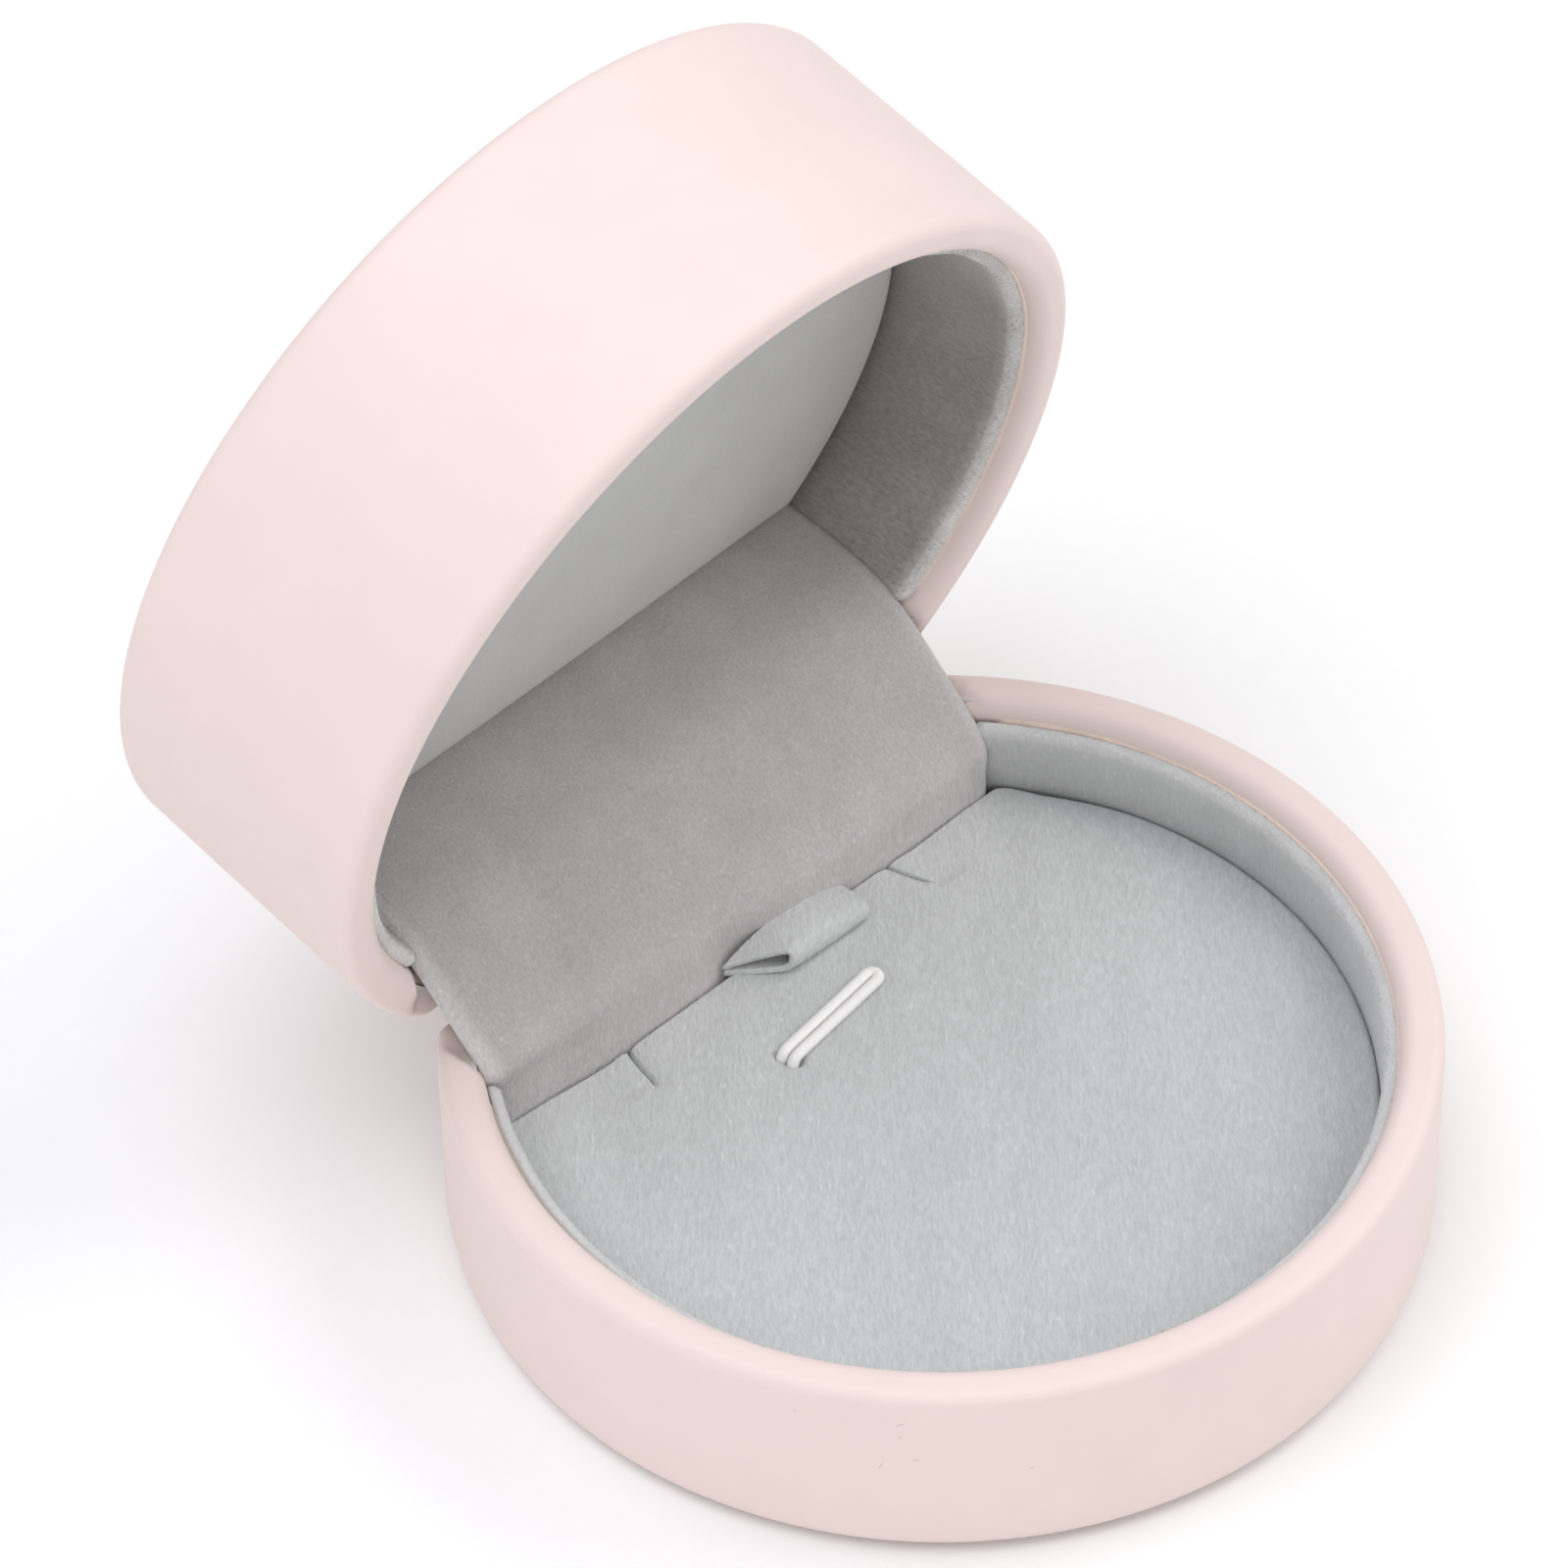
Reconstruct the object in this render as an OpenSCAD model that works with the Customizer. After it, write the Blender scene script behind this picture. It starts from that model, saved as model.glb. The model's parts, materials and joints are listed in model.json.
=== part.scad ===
// Round pendant case: two leather-covered drums with a flat back, joined by a sprung steel hinge,
// with a velvet-lined well, a lift-out pad, and a velvet flap that hides the hinge.
// Everything is in millimetres. The base stands on z = 0, its flat back and the hinge face +Y.
// Lid parts are written shut, then turned about the hinge pin by open_angle.

/* [Case] */
// Outer radius of the base and of the lid
case_r = 45; // [42:1:55]
// Height of the base, from its underside to its rim
base_h = 20.4; // [19:0.1:26]
// Height of the lid, from its rim to its top
lid_h = 29.6; // [26:0.1:36]
// Distance from the drum's axis to its flat back
back_y = 32.2; // [31:0.1:35]
// Angle at which the lid stands open
open_angle = 77; // [0:1:77]
// Gap between the two rims when the case is shut
seam_gap = 0.1; // [0.1:0.05:0.3]

/* [Walls] */
// Thickness of the leather cover
leather_t = 0.7; // [0.5:0.1:1]
// Thickness of the rigid side wall
wall_t = 2.7; // [2:0.1:3]
// Thickness of the rigid floor and of the lid's rigid top
floor_t = 2; // [1.5:0.1:2.5]
// Rounding of the leather rims
rim_f = 1.4; // [0.8:0.1:1.6]
// Rounding of the base's bottom edge
foot_f = 2.2; // [1:0.1:2.4]
// Rounding of the lid's top edge
top_f = 1.6; // [1:0.1:2.4]

/* [Lining] */
// Inner radius of the velvet wall in the base
base_well_r = 39.6; // [37:0.1:40]
// Inner radius of the velvet wall in the lid
lid_well_r = 39.4; // [37:0.1:40]
// How far the velvet walls stop short of the rims
liner_drop = 1.9; // [1:0.1:3]
// Thickness of the velvet
velvet_t = 0.6; // [0.4:0.1:0.8]
// Distance from the drum's axis to the flap's face
flap_y = 23.9; // [22:0.1:26]
// Height of the pad's face over the underside
pad_z = 11.3; // [10:0.1:12]
// Depth of the lid's pad below the lid's rim
lid_pad_d = 16; // [14:0.1:17]

/* [Hinge] */
// Outer radius of the rolled knuckles
knuckle_r = 1.4; // [1.2:0.1:1.5]
// Radius of the hinge pin
pin_r = 0.8; // [0.6:0.05:0.9]
// Half the length of the hinge
hinge_x = 14; // [12:0.5:16]

/* [Hidden] */
$fn = 96;

pink = [0.93, 0.84, 0.82];
core_grey = [0.85, 0.84, 0.82];
card_white = [0.90, 0.88, 0.84];
velvet_grey = [0.75, 0.76, 0.76];
flap_grey = [0.65, 0.64, 0.64];
steel = [0.72, 0.73, 0.75];

big = 200;
eps = 0.01;
shell_r = case_r - leather_t;         // outside of the rigid wall
shell_y = back_y - leather_t;
void_r = shell_r - wall_t;            // inside of the rigid wall
void_y = shell_y - 2.2;
rim_r = void_r - leather_t;           // inside of the turned-in leather
rim_y = void_y - 0.3;                 // thinned where the flap lies against it
turn_in = 6;                          // depth of the turned-in leather
lip_r = case_r - 3.5;                 // where the turned-over leather meets the end disc
lip_y = back_y - 2.6;
lip_gap = 0.08;
foot_gap = 0.25;                      // the base's leather stays this far off the table
pivot_y = back_y + 0.3;               // hinge axis, just behind the flat back
pivot_z = base_h - 1.6;
lid_z = base_h + seam_gap;            // the lid's rim plane, shut
liner_end_y = flap_y - 0.4;           // the lining rings stop at the flap

leaf_t = 0.4;
leaf_y = pivot_y - knuckle_r;         // the leaves are tangent to the knuckles
leaf_low = 6.2;
leaf_high = 32;
middle_x = 5.9;                       // half the lid's knuckle
knuckle_gap = 0.25;
run_gap = 0.05;                       // running clearance of the pin
pocket_y = pivot_y - 2.1;
rivet_x = 10;
rivet_r = 0.9;
rivet_head_r = 1.6;
rivet_head_t = 0.35;
base_rivet_z = 10.5;
lid_rivet_z = 28.6;
spring_x = 3;                         // half the spring's width
spring_in = 1.65;                     // radii of the spring's bend round the pin
spring_out = 1.9;
spring_leg_base = 10.6;
spring_leg_lid = 11;

pad_r = base_well_r - 0.45;
pad_y = flap_y - 0.3;
pad_low = 7.4;
board_t = 1.4;
slit_x = 17.5;
slit_w = 0.6;
slit_len = 6.5;
riser_r = 38.4;
riser_w = 3;
riser_y = 22;

strand_r = 0.6;                       // white elastic
strand_gap = 0.72;
loop_from = [-8.0, 12.4];
loop_to = [6.1, 13.7];
loop_dive = 0.9;
knot_r = 1.7;

tab_x = 5.4;                          // middle of the pull tab
tab_w = 10;
tab_r = 1.4;                          // rounding of its front fold
tab_front = 19.4;
tab_strap = 0.7;

flap_t = 0.5;
flap_half = 30;                       // half the flap's width
flap_low = 3.2;
flap_bend = 17.8;                     // where the flap leaves the base's card
flap_bend_lid = 22.6;                 // where it meets the lid's card, shut
flap_mid = [29.4, 22.6];              // the flap's free middle, lid open
card_t = 1.2;
card_half = 31;
steps = 10;

// ---- shapes that both drums share ----

// D-shaped outline: a circle cut by a flat back
module outline(r, y) {
    intersection() {
        circle(r);
        translate([-r, -r]) square([2 * r, r + y]);
    }
}

module slab(r, y, z0, z1) {
    translate([0, 0, z0]) linear_extrude(z1 - z0) outline(r, y);
}

// Half-profile of a drum that reaches from -h to 0, its two edges rounded
module drum_profile(r, h, rim, far) {
    polygon([[0, -h], [r - far, -h], [r, far - h], [r, -rim], [r - rim, 0], [0, 0]]);
    translate([r - rim, -rim]) circle(rim);
    translate([r - far, far - h]) circle(far);
}

// A drum with its rim up at z = 0; the flat back is rounded like the round side
module drum(r, y, h, rim, far) {
    intersection() {
        rotate_extrude() drum_profile(r, h, rim, far);
        along_x(big / 2) {
            translate([-big, -h]) square([big + y / 2, h]);
            drum_profile(y, h, rim, far);
        }
    }
}

// Rigid cup, rim up, closed at the far end
module cup_core(h, far) {
    difference() {
        translate([0, 0, -leather_t]) drum(shell_r, shell_y, h - 2 * leather_t - eps, 0.7, far - 0.6);
        slab(void_r, void_y, leather_t + floor_t - h, 1);
    }
}

// Leather that wraps the cup: up the side, over the rim, and a short way in
module cup_cover(h, far) {
    difference() {
        drum(case_r, back_y, h, rim_f, far);
        difference() {
            translate([0, 0, -leather_t]) drum(shell_r, shell_y, h - 2 * leather_t, 0.7, far - 0.6);
            slab(void_r, void_y, -turn_in, 1);
        }
        slab(rim_r, rim_y, -turn_in - eps, 1);
        slab(lip_r, lip_y, -h - 1, leather_t - h + eps);
        intersection() {
            rotate_extrude() difference() {
                translate([0, -rim_f]) square([rim_r + rim_f, rim_f + 1]);
                translate([rim_r + rim_f, -rim_f]) circle(rim_f);
            }
            block([-big, -big, -rim_f], [big, rim_y - 1, 1]);
        }
    }
}

// Lining ring, rim up: open at the back, where the flap closes it
module lining(r_in, r_out, z0, z1) {
    difference() {
        translate([0, 0, z0]) linear_extrude(z1 - z0) difference() {
            circle(r_out);
            circle(r_in);
        }
        translate([-big / 2, liner_end_y, -big / 2]) cube(big);
    }
}

module card_ring(well_r, depth) {
    lining(well_r + velvet_t, rim_r - 0.05, -depth, -liner_drop - velvet_t);
}

module velvet_ring(well_r, depth) {
    lining(well_r, well_r + velvet_t, -depth, -liner_drop - velvet_t);
    lining(well_r, rim_r - 0.05, -liner_drop - velvet_t, -liner_drop);
}

module in_base() {
    translate([0, 0, base_h]) children();
}

module in_lid() {
    open_lid() translate([0, 0, lid_z]) mirror([0, 0, 1]) children();
}

module open_lid() {
    translate([0, pivot_y, pivot_z]) rotate([-open_angle, 0, 0])
        translate([0, -pivot_y, -pivot_z]) children();
}

// A block given by its lowest and highest corners
module block(low, high) {
    translate(low) cube(high - low);
}

module rod_x(r, x0, x1) {
    translate([x0, pivot_y, pivot_z]) rotate([0, 90, 0]) cylinder(r = r, h = x1 - x0);
}

// An outline in Y and Z, as thick as 2 * half along X
module along_x(half) {
    rotate([90, 0, 90]) translate([0, 0, -half]) linear_extrude(2 * half) children();
}

// ---- base ----

// Room for the knuckles and the spring in the back wall of the base
module base_hinge_room() {
    block([-hinge_x - 0.6, pocket_y, pivot_z - knuckle_r - 0.2], [hinge_x + 0.6, big, base_h + 1]);
}

module base_shell() color(core_grey) difference() {
    in_base() cup_core(base_h - foot_gap, foot_f);
    base_hinge_room();
    block([-hinge_x - 0.2, leaf_y, leaf_low - 0.2], [hinge_x + 0.2, back_y, base_h]);
    block([-spring_x - 0.4, pocket_y, leaf_low + 1], [spring_x + 0.4, back_y, base_h]);
    rivet_shafts(base_rivet_z, rivet_r + 0.02);
}

module base_leather() color(pink) difference() {
    in_base() cup_cover(base_h - foot_gap, foot_f);
    base_hinge_room();
}

module bottom_sheet() color(card_white)
    slab(lip_r - lip_gap, lip_y - lip_gap, 0, foot_gap + leather_t - eps);

module base_liner_card() color(card_white)
    in_base() card_ring(base_well_r, base_h - foot_gap - leather_t - floor_t - 0.1);

module base_liner_velvet() color(velvet_grey)
    in_base() velvet_ring(base_well_r, base_h - foot_gap - leather_t - floor_t - 0.1);

// Card ring that the lift-out pad stands on
module pad_riser() color(card_white) difference() {
    slab(riser_r, riser_y, foot_gap + leather_t + floor_t + 0.05, pad_low - 0.05);
    slab(riser_r - riser_w, riser_y - riser_w, 0, pad_low);
}

module flap_card(z0, z1) {
    block([-card_half, flap_y + flap_t + 0.05, z0], [card_half, flap_y + flap_t + 0.05 + card_t, z1]);
}

module flap_card_base() color(card_white)
    flap_card(foot_gap + leather_t + floor_t + 0.05, flap_bend - 1.6);

// ---- lift-out pad ----

module pad_slits(z0) {
    for (side = [-1, 1])
        block([side * slit_x - slit_w / 2, pad_y - slit_len, z0], [side * slit_x + slit_w / 2, big, big]);
}

// Notch in the pad's back edge that the pull tab comes up through
module tab_notch() {
    block([tab_x - tab_w / 2 - 0.3, pad_y - 2 * tab_strap - 0.5, 0], [tab_x + tab_w / 2 + 0.3, big, big]);
}

// Two holes that the elastic dives through
module elastic_holes() {
    on_loop() for (side = [-1, 1])
        translate([-loop_dive, side * strand_gap, 0]) cylinder(r = strand_r + 0.04, h = big);
}

module pad_board() color(card_white) difference() {
    slab(pad_r - velvet_t, pad_y - velvet_t, pad_low + velvet_t, pad_low + velvet_t + board_t);
    tab_notch();
    elastic_holes();
}

module pad_foam() color("white") difference() {
    slab(pad_r - velvet_t, pad_y - velvet_t, pad_low + velvet_t + board_t, pad_z - velvet_t);
    tab_notch();
    pad_slits(0);
    elastic_holes();
}

module pad_velvet() color(velvet_grey) difference() {
    slab(pad_r, pad_y, pad_low, pad_z);
    slab(pad_r - velvet_t, pad_y - velvet_t, pad_low + velvet_t, pad_z - velvet_t);
    slab(pad_r - 7, pad_y - 7, 0, pad_low + velvet_t + eps);
    tab_notch();
    pad_slits(pad_low + velvet_t + board_t);
    elastic_holes();
}

// A velvet strap that comes up behind the pad and folds forward into a flat loop
module pull_tab() color(velvet_grey) translate([tab_x, 0, 0]) along_x(tab_w / 2) {
    fold = [tab_front + tab_r, pad_z + 0.05 + tab_r];
    root = pad_y - tab_strap - 0.2;
    difference() {
        union() {
            translate(fold) circle(tab_r);
            polygon([[fold.x, fold.y - tab_r], [root + tab_strap, fold.y - tab_r],
                     [root + tab_strap, fold.y + 0.2], [root, fold.y + 0.9], [fold.x, fold.y + tab_r]]);
        }
        translate(fold) circle(tab_r - tab_strap);
        polygon([[fold.x, fold.y - tab_r + tab_strap], [root - 0.4, fold.y - tab_r + tab_strap],
                 [fold.x, fold.y + tab_r - tab_strap]]);
    }
    translate([root - tab_strap, pad_low + eps]) square([2 * tab_strap, pad_z + 0.05 - pad_low]);
}

// Frame of the elastic: x from its left end towards its closed end
module on_loop() {
    run = loop_to - loop_from;
    translate([loop_from.x, loop_from.y, 0]) rotate([0, 0, atan2(run.y, run.x)]) children();
}

// White elastic that holds the pendant: a hairpin on the pad, its two ends knotted below the board
module elastic_loop() color("white") on_loop() {
    len = norm(loop_to - loop_from);
    top = pad_z + strand_r + 0.03;
    for (side = [-1, 1]) {
        translate([0, side * strand_gap, top]) rotate([0, 90, 0])
            cylinder(r = strand_r, h = len - strand_gap);
        translate([0, side * strand_gap, top - loop_dive]) rotate([90, 0, 0]) rotate([0, 0, 90])
            rotate_extrude(angle = 90) translate([loop_dive, 0]) circle(strand_r);
        translate([-loop_dive, side * strand_gap, pad_low - 1.2])
            cylinder(r = strand_r, h = top - loop_dive - pad_low + 1.2);
    }
    translate([len - strand_gap, 0, top]) rotate([0, 0, -90])
        rotate_extrude(angle = 180) translate([strand_gap, 0]) circle(strand_r);
    translate([-loop_dive, 0, pad_low - 2]) cylinder(r = knot_r, h = 1.9);
}

// ---- lid ----

module lid_shell() color(core_grey) difference() {
    in_lid() cup_core(lid_h, top_f);
    open_lid() {
        block([-hinge_x - 0.2, leaf_y, 0], [hinge_x + 0.2, back_y, leaf_high + 0.2]);
        block([-spring_x - 0.4, pocket_y, 0], [spring_x + 0.4, back_y, leaf_high - 0.5]);
        rivet_shafts(lid_rivet_z, rivet_r + 0.02);
    }
}

module lid_leather() color(pink) difference() {
    in_lid() cup_cover(lid_h, top_f);
    open_lid() {
        block([-hinge_x - 0.2, leaf_y - 0.1, 0], [hinge_x + 0.2, leaf_y + leaf_t + 0.02, lid_z + 2]);
        block([-spring_x - 0.4, pocket_y, 0], [spring_x + 0.4, leaf_y + leaf_t, lid_z + 2]);
    }
}

module lid_top_leather() color(pink) in_lid()
    slab(lip_r - lip_gap, lip_y - lip_gap, -lid_h, leather_t - lid_h - eps);

module lid_liner_card() color(card_white) in_lid() card_ring(lid_well_r, lid_pad_d + 6);

module lid_liner_velvet() color(velvet_grey) in_lid() velvet_ring(lid_well_r, lid_pad_d + 6);

module lid_pad_slab(z0, z1, inset) {
    in_lid() slab(lid_well_r - 0.3 - inset, flap_y - 0.2 - inset, -z1, -z0);
}

// Foam ring between the lid's pad and its rigid top
module lid_spacer() color("white") difference() {
    lid_pad_slab(lid_pad_d + 4.1, lid_h - leather_t - floor_t - 0.1, 1);
    lid_pad_slab(lid_pad_d, lid_h, 7);
}

module lid_pad_board() color(card_white)
    lid_pad_slab(lid_pad_d + 2.7, lid_pad_d + 4 - velvet_t, velvet_t);

module lid_pad_foam() color("white")
    lid_pad_slab(lid_pad_d + velvet_t, lid_pad_d + 2.7, velvet_t);

module lid_pad_velvet() color(velvet_grey) difference() {
    lid_pad_slab(lid_pad_d, lid_pad_d + 4, 0);
    lid_pad_slab(lid_pad_d + velvet_t, lid_pad_d + 4 - velvet_t, velvet_t);
    lid_pad_slab(lid_pad_d + 3, lid_pad_d + 5, 7);
}

module flap_card_lid() color(card_white) open_lid()
    flap_card(flap_bend_lid + 1.6, lid_z + lid_h - leather_t - floor_t - 0.05);

// ---- hinge ----

module rivet_shafts(z, r) {
    for (side = [-1, 1]) translate([side * rivet_x, leaf_y + leaf_t, z]) rotate([90, 0, 0])
        cylinder(r = r, h = leaf_y + leaf_t - void_y + eps);
}

// Flat-headed rivets, heads inside the case
module rivets(z) {
    rivet_shafts(z, rivet_r);
    for (side = [-1, 1]) translate([side * rivet_x, void_y - 0.01, z]) rotate([90, 0, 0])
        cylinder(r = rivet_head_r, h = rivet_head_t);
}

module hinge_leaf_base() color(steel) difference() {
    union() {
        block([-hinge_x, leaf_y, leaf_low], [hinge_x, leaf_y + leaf_t, pivot_z]);
        for (x = [-hinge_x, middle_x + knuckle_gap])
            rod_x(knuckle_r, x, x + hinge_x - middle_x - knuckle_gap);
    }
    block([-middle_x - knuckle_gap, 0, pivot_z - knuckle_r - knuckle_gap],
          [middle_x + knuckle_gap, big, big]);
    rod_x(pin_r + 0.01, -big / 2, big / 2);
    rivet_shafts(base_rivet_z, rivet_r + 0.02);
}

module hinge_leaf_lid() color(steel) open_lid() difference() {
    union() {
        block([-hinge_x, leaf_y, lid_z - 0.05], [hinge_x, leaf_y + leaf_t, leaf_high]);
        block([-middle_x, leaf_y, pivot_z], [middle_x, leaf_y + leaf_t, leaf_high]);
        rod_x(knuckle_r, -middle_x, middle_x);
    }
    rod_x(pin_r + run_gap, -big / 2, big / 2);
    rivet_shafts(lid_rivet_z, rivet_r + 0.02);
}

module base_hinge_rivets() color(steel) rivets(base_rivet_z);

module lid_hinge_rivets() color(steel) open_lid() rivets(lid_rivet_z);

module hinge_pin() color(steel) rod_x(pin_r, -hinge_x, hinge_x);

// Bow spring: a steel strip bent round the inside of the pin, one leg in each back wall
module hinge_spring() color(steel) along_x(spring_x) {
    strip = spring_out - spring_in;
    translate([pivot_y - spring_out, pivot_z - spring_leg_base]) square([strip, spring_leg_base]);
    translate([pivot_y, pivot_z]) {
        intersection() {
            difference() {
                circle(spring_out);
                circle(spring_in);
            }
            polygon([[0, 0], [-5, 0], [-5, 5], [5 * cos(180 - open_angle), 5 * sin(180 - open_angle)]]);
        }
        rotate(-open_angle) translate([-spring_out, 0]) square([strip, spring_leg_lid]);
    }
}

// ---- velvet flap ----

function turned(p, a) = [pivot_y + (p.x - pivot_y) * cos(a) + (p.y - pivot_z) * sin(a),
                         pivot_z - (p.x - pivot_y) * sin(a) + (p.y - pivot_z) * cos(a)];

function bezier(p, t) = pow(1 - t, 3) * p[0] + 3 * t * pow(1 - t, 2) * p[1]
                        + 3 * t * t * (1 - t) * p[2] + pow(t, 3) * p[3];

function left_of(d) = [-d.y, d.x] / norm(d);

function offset_path(path, d) = [for (i = [0 : len(path) - 1])
    path[i] + d * left_of(path[min(i + 1, len(path) - 1)] - path[max(i - 1, 0)])];

// Middle line of the flap, from below the pad, over the hinge, to behind the lid's pad
function flap_line() =
    let (mid_y = flap_y + flap_t / 2,
         low = [mid_y, flap_bend],
         high = turned([mid_y, flap_bend_lid], open_angle),
         slope = [cos(40), sin(40)],
         lid_way = [sin(open_angle), cos(open_angle)])
    concat([[mid_y, flap_low]],
           [for (i = [0 : steps]) bezier([low, low + [0, 1.5], flap_mid - 4 * slope, flap_mid], i / steps)],
           [for (i = [1 : steps]) bezier([flap_mid, flap_mid + 4 * slope, high - 1.5 * lid_way, high],
                                         i / steps)],
           [turned([mid_y, lid_z + lid_h - leather_t - floor_t - 2], open_angle)]);

// One sheet of velvet from the base's card to the lid's card
module hinge_flap() color(flap_grey) along_x(flap_half) {
    face = offset_path(flap_line(), flap_t / 2);
    back = offset_path(flap_line(), -flap_t / 2);
    polygon(concat(face, [for (i = [len(back) - 1 : -1 : 0]) back[i]]));
}

base_shell();
base_leather();
bottom_sheet();
base_liner_card();
base_liner_velvet();
pad_riser();
hinge_leaf_base();
base_hinge_rivets();
hinge_pin();
hinge_spring();
flap_card_base();
hinge_flap();
pad_board();
pad_foam();
pad_velvet();
pull_tab();
elastic_loop();
lid_shell();
lid_leather();
lid_top_leather();
lid_liner_card();
lid_liner_velvet();
lid_spacer();
lid_pad_board();
lid_pad_foam();
lid_pad_velvet();
hinge_leaf_lid();
lid_hinge_rivets();
flap_card_lid();
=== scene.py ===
# Round pendant case in pale pink leather, standing open. The covers, velvet linings, pads and hinge flap are
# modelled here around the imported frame. Lengths are metres; small ones are written as millimetres times mm.
import json
import math
import random

import bmesh
import bpy
from mathutils import Matrix, Vector, noise


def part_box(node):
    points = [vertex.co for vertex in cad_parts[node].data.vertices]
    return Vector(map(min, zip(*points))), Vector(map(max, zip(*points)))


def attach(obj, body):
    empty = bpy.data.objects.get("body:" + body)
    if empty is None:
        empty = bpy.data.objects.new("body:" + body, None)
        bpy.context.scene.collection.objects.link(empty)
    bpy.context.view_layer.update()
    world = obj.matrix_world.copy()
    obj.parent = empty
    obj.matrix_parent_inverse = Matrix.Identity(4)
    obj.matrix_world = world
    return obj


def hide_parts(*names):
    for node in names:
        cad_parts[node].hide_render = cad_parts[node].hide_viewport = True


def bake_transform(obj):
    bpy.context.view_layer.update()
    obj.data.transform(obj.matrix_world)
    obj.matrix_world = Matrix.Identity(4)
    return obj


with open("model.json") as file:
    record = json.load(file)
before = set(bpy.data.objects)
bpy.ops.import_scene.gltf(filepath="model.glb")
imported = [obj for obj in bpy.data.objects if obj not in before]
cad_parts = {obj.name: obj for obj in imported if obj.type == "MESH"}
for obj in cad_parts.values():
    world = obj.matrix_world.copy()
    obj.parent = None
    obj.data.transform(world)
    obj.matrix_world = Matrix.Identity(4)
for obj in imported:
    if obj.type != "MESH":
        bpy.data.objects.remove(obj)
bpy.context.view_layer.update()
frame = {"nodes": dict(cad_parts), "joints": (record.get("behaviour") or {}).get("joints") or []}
mm = 0.001
hinge = next(joint for joint in frame["joints"] if joint["name"] == "lid_hinge")
pivot = Vector(hinge["pos_m"])
openAngle = math.radians(-hinge["range_deg"][0])
openLid = Matrix.Translation(pivot) @ Matrix.Rotation(-openAngle, 4, "X") @ Matrix.Translation(-pivot)


def shutBox(name):  # a lid node's box with the lid turned back shut
    points = [openLid.inverted() @ vert.co for vert in frame["nodes"][name].data.vertices]
    low = Vector([min(point[axis] for point in points) for axis in range(3)])
    high = Vector([max(point[axis] for point in points) for axis in range(3)])
    return low, high


coverLow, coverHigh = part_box("base_leather")
lidLow, lidHigh = shutBox("lid_leather")
drum = {
    "radius": coverHigh.x,
    "back": coverHigh.y,
    "wall": 4.1 * mm,  # rim width on the round side
    "backWall": 3.2 * mm,  # rim width on the flat back
    "corner": 2.2 * mm,  # rounding between the round side and the flat back
    "fineArc": 20,  # degrees of the round side near each corner with closer points
    "fineSteps": 26,
    "arcSteps": 100,
    "cornerSteps": 8,
    "backSteps": 30,
}
toBase = Matrix.Translation((0, 0, coverHigh.z))  # rim plane at z = 0
toLid = openLid @ Matrix.Translation((0, 0, lidLow.z)) @ Matrix.Scale(-1, 4, (0, 0, 1))


def eased(value, low, high):  # 0 at low, 1 at high, smooth between
    share = min(1, max(0, (value - low) / (high - low)))
    return share * share * (3 - 2 * share)


# ---- camera, lights and floor ----
view = {
    "azimuth": -45.7454,
    "elevation": 44.5528,
    "roll": -0.9748,
    "distance": 0.67127,
    "target": (0.00138, 0.02034, 0.03501),
    "lens": 172.6,
}


def makeCamera():
    azimuth, elevation, roll = (math.radians(view[key]) for key in ("azimuth", "elevation", "roll"))
    back = Vector((math.sin(azimuth) * math.cos(elevation), -math.cos(azimuth) * math.cos(elevation),
                   math.sin(elevation)))
    level = Vector((math.cos(azimuth), math.sin(azimuth), 0))
    upright = back.cross(level)
    right = level * math.cos(roll) + upright * math.sin(roll)
    up = upright * math.cos(roll) - level * math.sin(roll)
    data = bpy.data.cameras.new("camera")
    data.lens = view["lens"]
    data.clip_start, data.clip_end = 0.01, 10
    camera = bpy.data.objects.new("camera", data)
    camera.matrix_world = Matrix.Translation(Vector(view["target"]) + back * view["distance"]) @ Matrix(
        (right, up, back)).transposed().to_4x4()
    bpy.context.scene.collection.objects.link(camera)
    bpy.context.scene.camera = camera


lamps = {
    "above": {"place": (-0.25, 0.15, 0.75), "size": 0.7, "power": 3.2, "tint": (0.96, 0.985, 1.04)},
    "front": {"place": (-0.75, -0.75, 0.45), "size": 0.8, "power": 2.35, "tint": (1.0, 1.0, 1.0)},
    "right": {"place": (0.68, -0.36, 0.72), "size": 0.7, "power": 3.9, "tint": (1.0, 1.0, 1.0)},
}
room = {"sky": (1.0, 1.0, 1.0), "strength": 0.525, "aim": (0, 0.01, 0.03), "floor": 1.2}


def makeLamps():
    for name, lamp in lamps.items():
        data = bpy.data.lights.new(name + "Lamp", "AREA")
        data.size, data.energy, data.color = lamp["size"], lamp["power"], lamp["tint"]
        light = bpy.data.objects.new(name + "Lamp", data)
        light.location = lamp["place"]
        toward = Vector(room["aim"]) - Vector(lamp["place"])
        light.rotation_euler = toward.to_track_quat("-Z", "Y").to_euler()
        bpy.context.scene.collection.objects.link(light)
    world = bpy.data.worlds.new("studio")
    world.use_nodes = True
    sky = world.node_tree.nodes["Background"]
    sky.inputs["Color"].default_value = (*room["sky"], 1)
    sky.inputs["Strength"].default_value = room["strength"]
    bpy.context.scene.world = world
    bpy.context.scene.view_settings.view_transform = "Standard"


# ---- shader building blocks ----
def add(tree, kind, settings=None, sockets=None):  # one node
    made = tree.nodes.new("ShaderNode" + kind)
    for key, value in (settings or {}).items():
        setattr(made, key, value)
    return fill(tree, made, sockets or {})


def fill(tree, node, sockets):  # a socket given as a value links to it
    for key, value in sockets.items():
        if isinstance(value, bpy.types.NodeSocket):
            tree.links.new(value, node.inputs[key])
        else:
            node.inputs[key].default_value = value
    return node


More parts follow.
